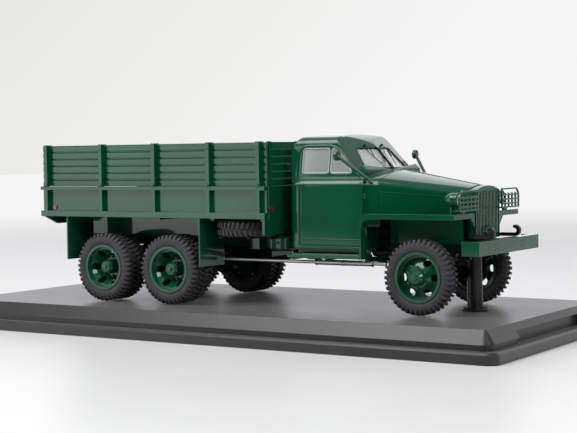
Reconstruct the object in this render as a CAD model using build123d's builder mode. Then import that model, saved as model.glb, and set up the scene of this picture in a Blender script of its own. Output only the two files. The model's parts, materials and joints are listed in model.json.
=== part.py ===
from build123d import *
from math import atan2, cos, radians, sin, sqrt
import os

os.makedirs("parts", exist_ok=True)

# Scale display model of a bonneted six-wheel cargo truck on its plinth, in millimetres.
# +X is the truck's front, +Y its left side, +Z up. The origin is the middle of the
# plinth's underside. Heights of the truck are given above the plinth's top face.

# Plinth
plinth_length = 195.0
plinth_width = 88.0
plinth_height = 8.6
plinth_corner = 3.0
ledge_height = 3.2
ledge_chamfer = 0.6
groove_height = 1.6
groove_depth = 2.9
block_rise = plinth_height - ledge_height - groove_height
block_inset = 2.3
block_taper = 32.0
plinth_wall = 2.2
recess_half_width = 23.0
recess_depth = 1.6
recess_height = 3.4
plinth_draft = 8.0
boss_height = 5.0
screw_boss_radius = 3.6
screw_hole_radius = 1.2

# Main places
front_axle_x = 63.6
wheelbase = 95.7
bogie_spread = 25.6
bogie_x = front_axle_x - wheelbase
middle_axle_x = bogie_x + bogie_spread / 2
rear_axle_x = bogie_x - bogie_spread / 2

# Wheels
tyre_radius = 10.6
tyre_width = 4.7
tyre_clearance = 0.2
bead_radius = 6.8
bead_width = 3.7
tread_width = 3.7
tread_drop = 0.8
shoulder_width = 0.3
lug_count = 24
lug_gap = 1.25
lug_depth = 0.6
rim_wall = 0.45
rim_lip = 0.4
rim_lip_width = 0.3
seat_clearance = 0.05
disc_thickness = 0.5
hand_hole_count = 6
hand_hole_radius = 1.05
hub_radius = 2.3
front_face_y = 20.8
rear_face_y = 25.7
twin_spacing = 5.35
spindle_radius = 0.8
running_clearance = 0.05
spindle_length = 3.0
drum_radius = 4.6
drum_width = 2.0
wheel_gap = 0.3
axle_height = plinth_height + tyre_clearance + tyre_radius
front_wheel_y = front_face_y - tyre_width / 2
rear_wheel_y = rear_face_y - tyre_width / 2 - twin_spacing / 2

# Chassis
rail_outer_y = 9.6
rail_height = 3.2
rail_flange = 1.6
rail_wall = 0.6
rail_bottom = plinth_height + 17.25
rail_top = rail_bottom + rail_height
rail_rear_x = front_axle_x - 131.5
member_width = 1.8
member_places = [-128.0, -108.0, -80.0, -56.0, 14.6]
bumper_x = front_axle_x + 18.85
bumper_half_width = 20.6
bumper_height = 4.0
bumper_wall = 0.7
rail_front_x = bumper_x - bumper_wall
bumper_flange = 2.6
bumper_return = 5.2
bumper_bottom = rail_top + bumper_wall - bumper_height
hook_x = bumper_x - 2.2
hook_z = bumper_bottom + bumper_height + 0.55
hook_bend = 1.15
hook_radius = 0.5
hook_width = 1.2
hook_foot = 4.2

# Running gear under the frame
axle_tube_radius = 1.3
differential_radius = 3.3
differential_y = 4.5
spindle_seat_radius = 1.5
hub_inset = 0.9
spring_y = 8.8
spring_width = 1.6
spring_leaves = 4
leaf_thickness = 0.5
leaf_step = 1.7
front_spring_reach = 11.0
front_spring_radius = 28.0
bogie_spring_y = 12.0
bogie_spring_width = 2.0
bogie_spring_leaves = 6
bogie_spring_radius = 30.0
spring_clearance = 0.3
shaft_radius = 0.75

# Display posts
post_radius_low = 2.3
post_radius_high = 2.0
post_flange_radius = 3.9
post_flange_height = 0.9
front_post_x = front_axle_x + 7.9
rear_post_x = bogie_x

# Cab
cab_rear_x = front_axle_x - 43.7
cab_half_width = 19.0
door_front_x = front_axle_x - 17.0
cowl_front_x = front_axle_x - 13.9
cowl_half_width = 17.0
cab_bottom = plinth_height + 17.9
belt_height = plinth_height + 38.0
glass_base = plinth_height + 40.8
gutter_height = plinth_height + 48.0
roof_top = plinth_height + 51.4
cab_wall = 0.9

# Bonnet and front
grille_x = front_axle_x + 12.2
grille_half_width = 7.95
grille_bottom = plinth_height + 21.0
grille_top = plinth_height + 34.6
shell_top = plinth_height + 36.0
shell_depth = 2.4
bonnet_wall = 0.8
bonnet_bottom = plinth_height + 28.5
bonnet_rear_shoulder = plinth_height + 37.9
bonnet_rear_crown = plinth_height + 40.5
bonnet_front_shoulder = plinth_height + 34.9
bonnet_front_crown = plinth_height + 36.2
wing_half_width = 21.8
wing_top = plinth_height + 28.5
wing_wall = 0.7
wing_lip = 1.5
wing_rear_x = front_axle_x - 17.8
wing_front_x = front_axle_x + 11.95
wing_bend = 3.2
step_bottom = plinth_height + 15.5
step_thickness = 1.0
step_rear_x = front_axle_x - 42.0
step_inner_y = 14.0

# Load bed
bed_front_x = front_axle_x - 46.87
bed_rear_x = front_axle_x - 133.55
bed_half_width = 26.0
bed_bottom = plinth_height + 26.7
bed_rail = 1.8
mid_rail_bottom = plinth_height + 35.15
mid_rail = 1.15
rack_top = plinth_height + 49.5
side_wall = 0.9
stake_width = 1.3
stake_depth = 1.4
slat_count = 6
slat_gap = 0.35
slat_bevel = 0.25
floor_thickness = 1.2

# Engine and driveline
engine_length = 15.5
engine_width = 8.0
engine_front_x = front_axle_x + 4.6
engine_bottom = rail_top - 2.4
engine_top = plinth_height + 33.0
radiator_x = front_axle_x + 8.1
radiator_thickness = 1.6
gearbox_length = 12.0
gearbox_width = 5.2
gearbox_height = 6.0
gearbox_centre = rail_top - 0.3 - gearbox_height / 2
transfer_x = front_axle_x - 42.0
transfer_length = 7.0
shaft_y = differential_y
bearing_radius = 1.1
shaft_end_gap = 0.25

# Exhaust on the right side
pipe_radius = 0.5
muffler_radius = 0.8
pipe_y = -15.5
pipe_height = plinth_height + 13.9
pipe_rear_x = front_axle_x - 68.5
muffler_rear_x = front_axle_x - 36.0
muffler_front_x = front_axle_x - 16.6
pipe_front_x = front_axle_x - 12.4

# Spare wheel, tank and boxes
spare_x = front_axle_x - 58.7
spare_y = -15.0
spare_height = plinth_height + 23.6
tank_rear_x = front_axle_x - 49.5
tank_length = 5.5
tank_bottom = plinth_height + 17.2
tank_height = 3.9
tank_width = 9.4
rail_gap = 0.1
relay_x = front_axle_x - 60.0
relay_length = 3.4
relay_width = 2.2
relay_height = 3.6

# Small running-gear sizes
sump_length = 7.0
sump_depth = 3.4
transfer_low = plinth_height + 14.6
bearing_height = axle_height + differential_radius + 1.2
strap_clearance = 0.05
strap_reach = 5.0
strap_width = 1.2
strap_thickness = 0.4

# Cab details
cab_corner = 4.0
nape_radius = 6.0
brow_reach = 16.0
roof_margin = 0.3
roof_half_width = 15.4
belt_half_width = 17.0
roof_edge_drop = 0.9
glass_rake = 41.2
glass_sweep = 10.3
glass_foot_x = front_axle_x - 17.9
pane_thickness = 0.4
pane_clearance = 0.05
screen_width = 12.2
screen_height = 7.9
screen_gap = 0.45
window_bottom = plinth_height + 40.0
window_top = plinth_height + 47.2
window_rear_x = front_axle_x - 39.6
window_front_x = front_axle_x - 30.6
vent_rear_x = front_axle_x - 29.9
vent_foot_x = front_axle_x - 22.6
vent_top_x = front_axle_x - 27.2
rear_window_width = 16.0
rear_window_height = 5.2
door_rear_x = front_axle_x - 39.2
seam_width = 0.25
seam_depth = 0.2
door_bottom = plinth_height + 19.0
shoulder_rise = 0.6
shoulder_drop = 2.2
shoulder_reach = 2.0
cowl_overlap = 3.1
cowl_rear_half_width = cab_half_width - 0.1
cowl_rear_crown = glass_base - 0.1
screen_foot = 0.5
screen_taper = 1.6
cabin_floor = rail_top + cab_wall
seat_width = 30.0
dash_width = 29.0
column_tilt = 40.0
column_length = 6.5
steering_x = front_axle_x - 24.5
steering_y = 7.5
steering_z = plinth_height + 36.5
steering_radius = 4.0

# Front end details
panel_gap = 0.1
wing_inner_y = grille_half_width + panel_gap
inner_panel_y = rail_outer_y + panel_gap + 0.7
inner_panel_length = 23.0
gusset_width = 3.6
gusset_height = 4.6
grille_wall = 0.6
bar_count = 14
bar_width = 0.45
bar_depth = 0.7
crank_height = plinth_height + 23.0
crank_radius = 1.2
guard_x = front_axle_x + 12.6
guard_inner_y = grille_half_width + panel_gap
guard_outer_y = 20.2
guard_bottom = plinth_height + 29.2
guard_shoulder = plinth_height + 33.0
guard_top = plinth_height + 35.0
guard_slope = 3.0
guard_bars = 5
guard_rows = 4
guard_wire = 0.45
guard_foot = 2.0
lamp_rear_x = front_axle_x + 5.4
lamp_length = 4.7
lamp_radius = 2.0
lamp_y = 14.5
lens_edge = 0.3
lens_bulge = 0.5
lamp_height = plinth_height + 32.3
mirror_foot = (front_axle_x - 16.0, -17.7, plinth_height + 37.7)
mirror_head = (front_axle_x - 23.3, -24.0, plinth_height + 45.0)
mirror_arm_radius = 0.5
mirror_radius = 1.4
wiper_x = 5.0
wiper_length = 6.0
wiper_turn = 8.0

# Bed details
panel_y = bed_half_width - stake_depth - side_wall
bearer_height = 0.7
runner_inset = 1.2
skirt_height = 2.6
front_skirt_bottom = plinth_height + 22.0
slat_thickness = 0.6
batten_depth = 0.5
mud_rear_x = rear_axle_x - 14.3
mud_front_x = middle_axle_x + 12.1
mud_rear_bottom = plinth_height + 13.0
mud_front_bottom = plinth_height + 12.0
mud_width = 12.6
mud_thickness = 0.5
reflector_x = front_axle_x - 128.6
reflector_height = plinth_height + 29.6
reflector_front_y = 22.6
reflector_radius = 0.75
reflector_depth = 0.4


# Where a rectangle's place is taken: its lower left corner, or the middle of a side
by_corner = (Align.MIN, Align.MIN)
by_left = (Align.MIN, Align.CENTER)
by_right = (Align.MAX, Align.CENTER)
by_foot = (Align.CENTER, Align.MIN)
by_top = (Align.CENTER, Align.MAX)


def save(piece, label):
    piece.part.label = label
    export_step(piece.part, f"parts/{label}.step")


def side_plane(y, facing=-1):
    """A plane across Y: local x runs along +X for the right side, local y is up."""
    return Plane(origin=(0, y, 0), x_dir=(-facing, 0, 0), z_dir=(0, facing, 0))


def cross_plane(x):
    """A plane across X: local x is Y, local y is up."""
    return Plane(origin=(x, 0, 0), x_dir=(0, 1, 0), z_dir=(1, 0, 0))


# Plinth: a moulded shell with a stepped edge, open below
with BuildPart() as plinth:
    with BuildSketch():
        RectangleRounded(plinth_length, plinth_width, plinth_corner)
    extrude(amount=ledge_height)
    chamfer(plinth.faces().sort_by(Axis.Z)[-1].edges(), ledge_chamfer)
    with BuildSketch(Plane.XY.offset(ledge_height)):
        RectangleRounded(plinth_length - 2 * groove_depth, plinth_width - 2 * groove_depth, plinth_corner)
    extrude(amount=groove_height)
    with BuildSketch(Plane.XY.offset(ledge_height + groove_height)):
        RectangleRounded(plinth_length - 2 * block_inset, plinth_width - 2 * block_inset, plinth_corner)
    extrude(amount=block_rise, taper=block_taper)
    with BuildSketch(Plane.XY.offset(ledge_height)):
        for end, edge_align in ((-1, by_right), (1, by_left)):
            with Locations((end * (plinth_length / 2 - groove_depth - recess_depth), 0)):
                Rectangle(groove_depth + recess_depth, 2 * recess_half_width, align=edge_align)
    extrude(amount=recess_height, mode=Mode.SUBTRACT)
    with BuildSketch():
        RectangleRounded(
            plinth_length - 2 * (groove_depth + plinth_wall),
            plinth_width - 2 * (groove_depth + plinth_wall),
            plinth_corner,
        )
    extrude(amount=plinth_height - plinth_wall, mode=Mode.SUBTRACT, taper=plinth_draft)
    with BuildSketch(Plane.XY.offset(plinth_height - plinth_wall)):
        with Locations((front_post_x, 0), (rear_post_x, 0)):
            Circle(screw_boss_radius)
    extrude(amount=-boss_height)
    with BuildSketch(Plane.XY.offset(plinth_height)):
        with Locations((front_post_x, 0), (rear_post_x, 0)):
            Circle(screw_hole_radius)
    extrude(amount=-plinth_height, mode=Mode.SUBTRACT)
save(plinth, "plinth")

# Display posts: tapered pillars with a foot flange, up to the frame's cross members
with BuildPart() as display_posts:
    for post_x in (front_post_x, rear_post_x):
        with BuildSketch(Plane(origin=(post_x, 0, plinth_height), x_dir=(1, 0, 0), z_dir=(0, -1, 0))):
            with BuildLine():
                Polyline(
                    (0, 0),
                    (post_flange_radius, 0),
                    (post_flange_radius, post_flange_height * 0.6),
                    (post_flange_radius - 0.5, post_flange_height),
                    (post_radius_low, post_flange_height),
                    (post_radius_high, rail_bottom - plinth_height),
                    (0, rail_bottom - plinth_height),
                    close=True,
                )
            make_face()
        revolve(axis=Axis((post_x, 0, plinth_height), (0, 0, 1)))
save(display_posts, "display_posts")

# Frame: two channel rails joined by cross members
with BuildPart() as chassis_frame:
    with BuildSketch(cross_plane(rail_rear_x)):
        with Locations((-rail_outer_y, rail_bottom)):
            Rectangle(rail_flange, rail_height, align=by_corner)
        with Locations((-rail_outer_y + rail_wall, rail_bottom + rail_wall)):
            Rectangle(rail_flange, rail_height - 2 * rail_wall, align=by_corner, mode=Mode.SUBTRACT)
    extrude(amount=rail_front_x - rail_rear_x)
    mirror(about=Plane.XZ)
    for place in member_places:
        with BuildSketch(Plane.XY.offset(rail_bottom)):
            with Locations((front_axle_x + place, 0)):
                Rectangle(member_width, 2 * (rail_outer_y - rail_wall))
        extrude(amount=rail_height * 0.8)
    for post_x in (front_post_x, rear_post_x):
        with BuildSketch(Plane.XY.offset(rail_bottom)):
            with Locations((post_x, 0)):
                Rectangle(2 * post_radius_low, 2 * (rail_outer_y - rail_wall))
        extrude(amount=rail_height * 0.8)
save(chassis_frame, "chassis_frame")

# Front bumper: a channel with short returns along the sides
with BuildPart() as front_bumper:
    with BuildSketch(Plane.XY.offset(bumper_bottom)):
        with Locations((bumper_x, 0)):
            Rectangle(bumper_return, 2 * bumper_half_width, align=by_right)
    extrude(amount=bumper_height)
    with BuildSketch(Plane.XY.offset(bumper_bottom)):
        with Locations((bumper_x - bumper_wall, 0)):
            Rectangle(bumper_return, 2 * (bumper_half_width - bumper_wall), align=by_right)
    extrude(amount=bumper_height - bumper_wall, mode=Mode.SUBTRACT)
    with BuildSketch(Plane.XY.offset(bumper_bottom)):
        with Locations((bumper_x - bumper_flange, 0)):
            Rectangle(bumper_return, 2 * (bumper_half_width - bumper_wall), align=by_right)
    extrude(amount=bumper_height, mode=Mode.SUBTRACT)
save(front_bumper, "front_bumper")

# Tow hooks on top of the bumper, in line with the rails
with BuildPart() as tow_hooks:
    for side in (-1, 1):
        with BuildSketch(side_plane(side * (rail_outer_y - 0.8) + hook_width / 2)):
            with BuildLine():
                foot = Line((hook_x - hook_foot, hook_z), (hook_x, hook_z))
                TangentArc(foot @ 1, (hook_x, hook_z + 2 * hook_bend), tangent=foot % 1)
                offset(amount=hook_radius)
            make_face()
        extrude(amount=hook_width)
save(tow_hooks, "tow_hooks")

# Axles: tube, differential, brake drums and the stubs that the wheels run on
axle_table = [
    # label, axle x, wheel middle y, drum inner y
    ("front_axle", front_axle_x, front_wheel_y, front_wheel_y - 3.4),
    ("middle_axle", middle_axle_x, rear_wheel_y, rear_wheel_y - 4.8),
    ("rear_axle", rear_axle_x, rear_wheel_y, rear_wheel_y - 4.8),
]
for label, axle_x, wheel_y, drum_y in axle_table:
    hub_y = wheel_y - hub_inset
    with BuildPart() as axle:
        with BuildSketch(Plane(origin=(axle_x, 0, axle_height), x_dir=(1, 0, 0), z_dir=(0, 0, 1))):
            with BuildLine():
                Polyline(
                    (0, 0),
                    (axle_tube_radius, 0),
                    (axle_tube_radius, drum_y),
                    (drum_radius, drum_y),
                    (drum_radius, drum_y + drum_width),
                    (spindle_seat_radius, drum_y + drum_width),
                    (spindle_seat_radius, hub_y - wheel_gap),
                    (spindle_radius, hub_y - wheel_gap),
                    (spindle_radius, hub_y + spindle_length),
                    (0, hub_y + spindle_length),
                    close=True,
                )
            make_face()
        revolve(axis=Axis((axle_x, 0, axle_height), (0, 1, 0)))
        mirror(about=Plane.XZ)
        with Locations((axle_x, differential_y, axle_height)):
            Sphere(differential_radius)
        with BuildSketch(cross_plane(axle_x)):
            with Locations((differential_y, axle_height)):
                Circle(differential_radius * 0.55)
        extrude(amount=differential_radius + 1.2)
    save(axle, label)


def leaf_stack(middle_x, seat_z, radius, leaves, reach, step, upward):
    """Outline of a stack of curved leaves, the longest next to the centre of their arcs."""
    centre_z = seat_z + upward * radius
    with BuildSketch() as stack:
        for leaf in range(leaves):
            inner = radius - (leaves - leaf) * leaf_thickness
            outer = inner + leaf_thickness
            half = (reach - leaf * step) / inner
            ends = [
                (middle_x + r * sin(a), centre_z - upward * r * cos(a))
                for r, a in ((inner, -half), (inner, 0), (inner, half), (outer, half), (outer, 0), (outer, -half))
            ]
            with BuildLine():
                ThreePointArc(ends[0], ends[1], ends[2])
                Line(ends[2], ends[3])
                ThreePointArc(ends[3], ends[4], ends[5])
                Line(ends[5], ends[0])
            make_face()
    return stack.sketch


# Springs: ends up under the rails in front, ends down on the axles behind
front_seat = axle_height + axle_tube_radius
with BuildPart() as front_springs:
    with BuildSketch(side_plane(-spring_y + spring_width / 2)):
        add(leaf_stack(front_axle_x, front_seat, front_spring_radius, spring_leaves, front_spring_reach, leaf_step, 1))
    extrude(amount=spring_width)
    hanger_x = front_spring_reach - 0.9
    with BuildSketch(Plane.XY.offset(rail_bottom)):
        with Locations((front_axle_x - hanger_x, -spring_y), (front_axle_x + hanger_x, -spring_y)):
            Rectangle(1.4, spring_width)
    extrude(amount=-(rail_bottom - front_seat - spring_leaves * leaf_thickness - 1.2))
    mirror(about=Plane.XZ)
save(front_springs, "front_springs")

bogie_seat = axle_height + axle_tube_radius + spring_clearance
bogie_reach = bogie_spread / 2 + 1.5
bogie_inner_radius = bogie_spring_radius - bogie_spring_leaves * leaf_thickness
bogie_top = bogie_seat + bogie_spring_radius - sqrt(bogie_inner_radius**2 - (bogie_spread / 2) ** 2)
with BuildPart() as bogie_springs:
    with BuildSketch(side_plane(-bogie_spring_y + bogie_spring_width / 2)):
        add(leaf_stack(bogie_x, bogie_top, bogie_spring_radius, bogie_spring_leaves, bogie_reach, leaf_step, -1))
    extrude(amount=bogie_spring_width)
    mirror(about=Plane.XZ)
save(bogie_springs, "bogie_springs")

# Wheels: a disc wheel with hand holes, and its tyre; twins behind share one hub
wheel_table = [
    # label, axle x, side, twin
    ("front_right", front_axle_x, -1, False),
    ("front_left", front_axle_x, 1, False),
    ("middle_right", middle_axle_x, -1, True),
    ("middle_left", middle_axle_x, 1, True),
    ("rear_right", rear_axle_x, -1, True),
    ("rear_left", rear_axle_x, 1, True),
]


def tyre_outline(middle):
    """Half section of a tyre: local x is the radius, local y the place across it."""
    belly = (bead_radius + tyre_radius) / 2
    shoulder = (tyre_radius - tread_drop, tread_width / 2 + shoulder_width)
    with BuildSketch() as outline:
        with BuildLine():
            Line((bead_radius, middle - bead_width / 2), (bead_radius, middle + bead_width / 2))
            for side in (-1, 1):
                heel = bead_radius + rim_lip + seat_clearance
                Line((bead_radius, middle + side * bead_width / 2), (heel, middle + side * bead_width / 2))
                Polyline(
                    (heel, middle + side * bead_width / 2),
                    (belly, middle + side * tyre_width / 2),
                    (shoulder[0], middle + side * shoulder[1]),
                )
                Line((shoulder[0], middle + side * shoulder[1]), (tyre_radius, middle + side * tread_width / 2))
            Line((tyre_radius, middle - tread_width / 2), (tyre_radius, middle + tread_width / 2))
        make_face()
    return outline.sketch


def rim_outline(middle):
    """Half section of the rim band with its two lips."""
    outer = bead_radius - seat_clearance
    inner = outer - rim_wall
    lip_y = bead_width / 2 + seat_clearance
    with BuildSketch() as outline:
        with BuildLine():
            Polyline(
                (inner, middle - lip_y - rim_lip_width),
                (outer + rim_lip, middle - lip_y - rim_lip_width),
                (outer + rim_lip, middle - lip_y),
                (outer, middle - lip_y),
                (outer, middle + lip_y),
                (outer + rim_lip, middle + lip_y),
                (outer + rim_lip, middle + lip_y + rim_lip_width),
                (inner, middle + lip_y + rim_lip_width),
                close=True,
            )
        make_face()
    return outline.sketch


def disc_outline(attach, hub_face):
    """Half section of the dished disc from its attachment at the rim to the hub."""
    inner = bead_radius - seat_clearance - rim_wall / 2
    with BuildSketch() as outline:
        with BuildLine():
            Polyline(
                (inner, attach),
                (inner - 1.0, attach),
                (hub_radius + 0.6, hub_face),
                (0, hub_face),
                (0, hub_face + disc_thickness),
                (hub_radius + 0.7, hub_face + disc_thickness),
                (inner - 0.9, attach + disc_thickness),
                (inner, attach + disc_thickness),
                close=True,
            )
        make_face()
    return outline.sketch


for label, axle_x, side, twin in wheel_table:
    wheel_y = rear_wheel_y if twin else front_wheel_y
    middles = (-twin_spacing / 2, twin_spacing / 2) if twin else (0,)
    wheel_plane = Plane(origin=(axle_x, side * wheel_y, axle_height), x_dir=(1, 0, 0), z_dir=(0, 0, side))
    wheel_axis = Axis((axle_x, 0, axle_height), (0, 1, 0))
    face_plane = Plane(origin=(axle_x, side * wheel_y, axle_height), x_dir=(1, 0, 0), z_dir=(0, side, 0))
    with BuildPart() as tyre:
        for middle in middles:
            with BuildSketch(wheel_plane):
                add(tyre_outline(middle))
            revolve(axis=wheel_axis)
            with BuildSketch(face_plane.offset(middle - tyre_width / 2)):
                with PolarLocations(tyre_radius, lug_count):
                    Rectangle(2 * lug_depth, lug_gap)
            extrude(amount=tyre_width, mode=Mode.SUBTRACT)
    save(tyre, f"{label}_tyre")
    with BuildPart() as rim:
        with BuildSketch(wheel_plane):
            for middle in middles:
                add(rim_outline(middle))
            if twin:
                add(disc_outline(twin_spacing / 2 + 0.4, -disc_thickness))
                add(disc_outline(-twin_spacing / 2 - 0.4 - disc_thickness, -disc_thickness))
            else:
                add(disc_outline(-0.4, 1.3))
            with BuildLine():
                Polyline(
                    (0, -hub_inset),
                    (hub_radius, -hub_inset),
                    (hub_radius, spindle_length),
                    (hub_radius * 0.7, spindle_length + 0.8),
                    (0, spindle_length + 0.8),
                    close=True,
                )
            make_face()
        revolve(axis=wheel_axis)
        with BuildSketch(face_plane):
            with PolarLocations((hub_radius + bead_radius) / 2 + 0.2, hand_hole_count):
                Circle(hand_hole_radius)
        extrude(amount=4, both=True, mode=Mode.SUBTRACT)
        with BuildSketch(face_plane.offset(-hub_inset)):
            Circle(spindle_radius + running_clearance)
        extrude(amount=spindle_length + wheel_gap, mode=Mode.SUBTRACT)
    save(rim, f"{label}_wheel")

# Engine block with its sump, a plain block behind the radiator
with BuildPart() as engine:
    with BuildSketch(Plane.XY.offset(engine_bottom)):
        with Locations((engine_front_x, 0)):
            Rectangle(engine_length, engine_width, align=by_right)
    extrude(amount=engine_top - engine_bottom)
    with BuildSketch(Plane.XY.offset(engine_bottom)):
        with Locations((engine_front_x - engine_length, 0)):
            Rectangle(sump_length, engine_width * 0.7, align=by_left)
    extrude(amount=-sump_depth, taper=10)
save(engine, "engine")

# Radiator core behind the grille
with BuildPart() as radiator:
    with BuildSketch(cross_plane(radiator_x)):
        with Locations((0, grille_bottom)):
            Rectangle(2 * (grille_half_width - 1.0), grille_top - grille_bottom - 0.6, align=by_foot)
    extrude(amount=radiator_thickness)
save(radiator, "radiator")

# Gearbox behind the engine, and the transfer case behind it
with BuildPart() as gearbox:
    with BuildSketch(cross_plane(engine_front_x - engine_length)):
        with Locations((0, gearbox_centre)):
            RectangleRounded(gearbox_width, gearbox_height, 0.8)
    extrude(amount=-gearbox_length)
    with BuildSketch(cross_plane(engine_front_x - engine_length - gearbox_length)):
        with Locations((0, gearbox_centre)):
            Circle(shaft_radius)
    extrude(amount=-(engine_front_x - engine_length - gearbox_length - transfer_x))
    with BuildSketch(cross_plane(transfer_x)):
        with BuildLine():
            Polyline(
                (-3.0, gearbox_centre + gearbox_height / 2),
                (2.0, gearbox_centre + gearbox_height / 2),
                (shaft_y + 2.2, transfer_low + 2.4),
                (shaft_y + 2.2, transfer_low - 1.6),
                (shaft_y - 2.2, transfer_low - 1.6),
                (-3.0, gearbox_centre - gearbox_height / 2),
                close=True,
            )
        make_face()
    extrude(amount=-transfer_length)
save(gearbox, "gearbox")

# Propeller shafts: forward to the front axle, back to the middle axle, and over it
# through a bearing to the rear axle
nose = differential_radius + 1.2
shaft_table = [
    # start x, start z, end x, end z
    (transfer_x, transfer_low, front_axle_x - differential_radius * 0.94, axle_height + 1.0),
    (transfer_x - transfer_length, transfer_low, middle_axle_x + nose, axle_height),
    (transfer_x - transfer_length, transfer_low + 1.5, middle_axle_x, bearing_height),
    (middle_axle_x, bearing_height, rear_axle_x + nose, axle_height),
]
with BuildPart() as prop_shafts:
    for start_x, start_z, end_x, end_z in shaft_table:
        run = Vector(end_x - start_x, 0, end_z - start_z)
        start = Vector(start_x, shaft_y, start_z) + run.normalized() * shaft_end_gap
        with BuildSketch(Plane(origin=start, z_dir=run.normalized())):
            Circle(shaft_radius)
        extrude(amount=run.length - 2 * shaft_end_gap)
    with BuildSketch(cross_plane(middle_axle_x - 1.0)):
        with Locations((shaft_y, bearing_height)):
            Circle(bearing_radius)
    extrude(amount=2.0)
save(prop_shafts, "prop_shafts")

# Exhaust: muffler under the right step, tail pipe to the bogie, front pipe turned inwards
with BuildPart() as exhaust:
    with BuildSketch(Plane(origin=(pipe_rear_x, pipe_y, pipe_height), z_dir=(1, 0, 0))):
        Circle(pipe_radius)
    extrude(amount=pipe_front_x - pipe_rear_x)
    with BuildSketch(Plane(origin=(muffler_rear_x, pipe_y, pipe_height), z_dir=(1, 0, 0))):
        Circle(muffler_radius)
    extrude(amount=muffler_front_x - muffler_rear_x)
    with BuildSketch(side_plane(pipe_y - 0.5)):
        with Locations((muffler_rear_x + 3.0, pipe_height)):
            Rectangle(1.0, step_bottom - pipe_height, align=by_foot)
        with Locations((muffler_front_x - 3.0, pipe_height)):
            Rectangle(1.0, step_bottom - pipe_height, align=by_foot)
    extrude(amount=-1.0)
save(exhaust, "exhaust")

# Spare wheel lying flat under the bed's front corner
spare_plane = Plane(origin=(spare_x, spare_y, spare_height), x_dir=(1, 0, 0), z_dir=(0, -1, 0))
spare_axis = Axis((spare_x, spare_y, spare_height), (0, 0, 1))
with BuildPart() as spare_tyre:
    with BuildSketch(spare_plane):
        add(tyre_outline(0))
    revolve(axis=spare_axis)
    with BuildSketch(Plane.XY.offset(spare_height - tyre_width / 2)):
        with Locations((spare_x, spare_y)):
            with PolarLocations(tyre_radius, lug_count):
                Rectangle(2 * lug_depth, lug_gap)
    extrude(amount=tyre_width, mode=Mode.SUBTRACT)
save(spare_tyre, "spare_tyre")

with BuildPart() as spare_wheel:
    with BuildSketch(spare_plane):
        add(rim_outline(0))
        add(disc_outline(-0.4, 1.3))
    revolve(axis=spare_axis)
    with BuildSketch(Plane.XY.offset(spare_height)):
        with Locations((spare_x, spare_y)):
            with PolarLocations((hub_radius + bead_radius) / 2 + 0.2, hand_hole_count):
                Circle(hand_hole_radius)
    extrude(amount=4, both=True, mode=Mode.SUBTRACT)
save(spare_wheel, "spare_wheel")

# Carrier: two straps under the spare tyre, hung from the bed and the rail
with BuildPart() as spare_carrier:
    strap_top = spare_height - tyre_width / 2 - strap_clearance
    for place in (-strap_reach, strap_reach):
        with BuildSketch(Plane.XY.offset(strap_top)):
            with Locations((spare_x + place, spare_y + tyre_radius - 1.0)):
                Rectangle(strap_width, 2 * tyre_radius - 2.0, align=by_top)
        extrude(amount=-strap_thickness)
        with BuildSketch(Plane.XY.offset(strap_top - strap_thickness)):
            with Locations((spare_x + place, -rail_outer_y)):
                Rectangle(strap_width, -rail_outer_y - rail_gap - (spare_y + tyre_radius), align=by_top)
        extrude(amount=strap_thickness)
save(spare_carrier, "spare_carrier")

# Fuel tank behind the cab's right corner
with BuildPart() as fuel_tank:
    with BuildSketch(cross_plane(tank_rear_x)):
        with Locations((-rail_outer_y - rail_gap - tank_width / 2, tank_bottom + tank_height / 2)):
            RectangleRounded(tank_width, tank_height, 0.9)
    extrude(amount=tank_length)
save(fuel_tank, "fuel_tank")

# Small box on the right rail
with BuildPart() as rail_box:
    with BuildSketch(cross_plane(relay_x - relay_length / 2)):
        with Locations((-rail_outer_y - relay_width / 2, rail_bottom + relay_height / 2 - 0.4)):
            Rectangle(relay_width, relay_height)
    extrude(amount=relay_length)
save(rail_box, "rail_box")


def glass_plane(side, lift=0.0):
    """The windscreen half's plane: local x runs towards +Y, local y up the glass."""
    t, s = radians(glass_rake), radians(glass_sweep)
    normal = Vector(cos(t) * cos(s), side * cos(t) * sin(s), sin(t))
    foot = Vector(glass_foot_x, 0, glass_base) + normal * lift
    return Plane(origin=foot, x_dir=(-side * sin(s), cos(s), 0), z_dir=normal)


def cab_section(shrink):
    """Front view of the cab: straight sides, shoulders at the belt and a crowned roof."""
    low = cab_bottom - (1.0 if shrink else 0)
    side = cab_half_width - shrink
    with BuildSketch() as section:
        with BuildLine():
            sill = Line((side, low), (side, belt_height - shoulder_drop))
            shoulder = TangentArc(sill @ 1, (belt_half_width - shrink, belt_height + shoulder_rise), tangent=sill % 1)
            pillar = Line(shoulder @ 1, (roof_half_width - shrink, gutter_height))
            corner = TangentArc(pillar @ 1, (roof_half_width - 4.2, roof_top - roof_edge_drop - shrink), tangent=pillar % 1)
            ThreePointArc(corner @ 1, (0, roof_top - shrink), (-(roof_half_width - 4.2), roof_top - roof_edge_drop - shrink))
            mirror(sill, about=Plane.YZ)
            mirror(shoulder, about=Plane.YZ)
            mirror(pillar, about=Plane.YZ)
            mirror(corner, about=Plane.YZ)
            Line((-side, low), (side, low))
        make_face()
    return section.sketch


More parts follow.
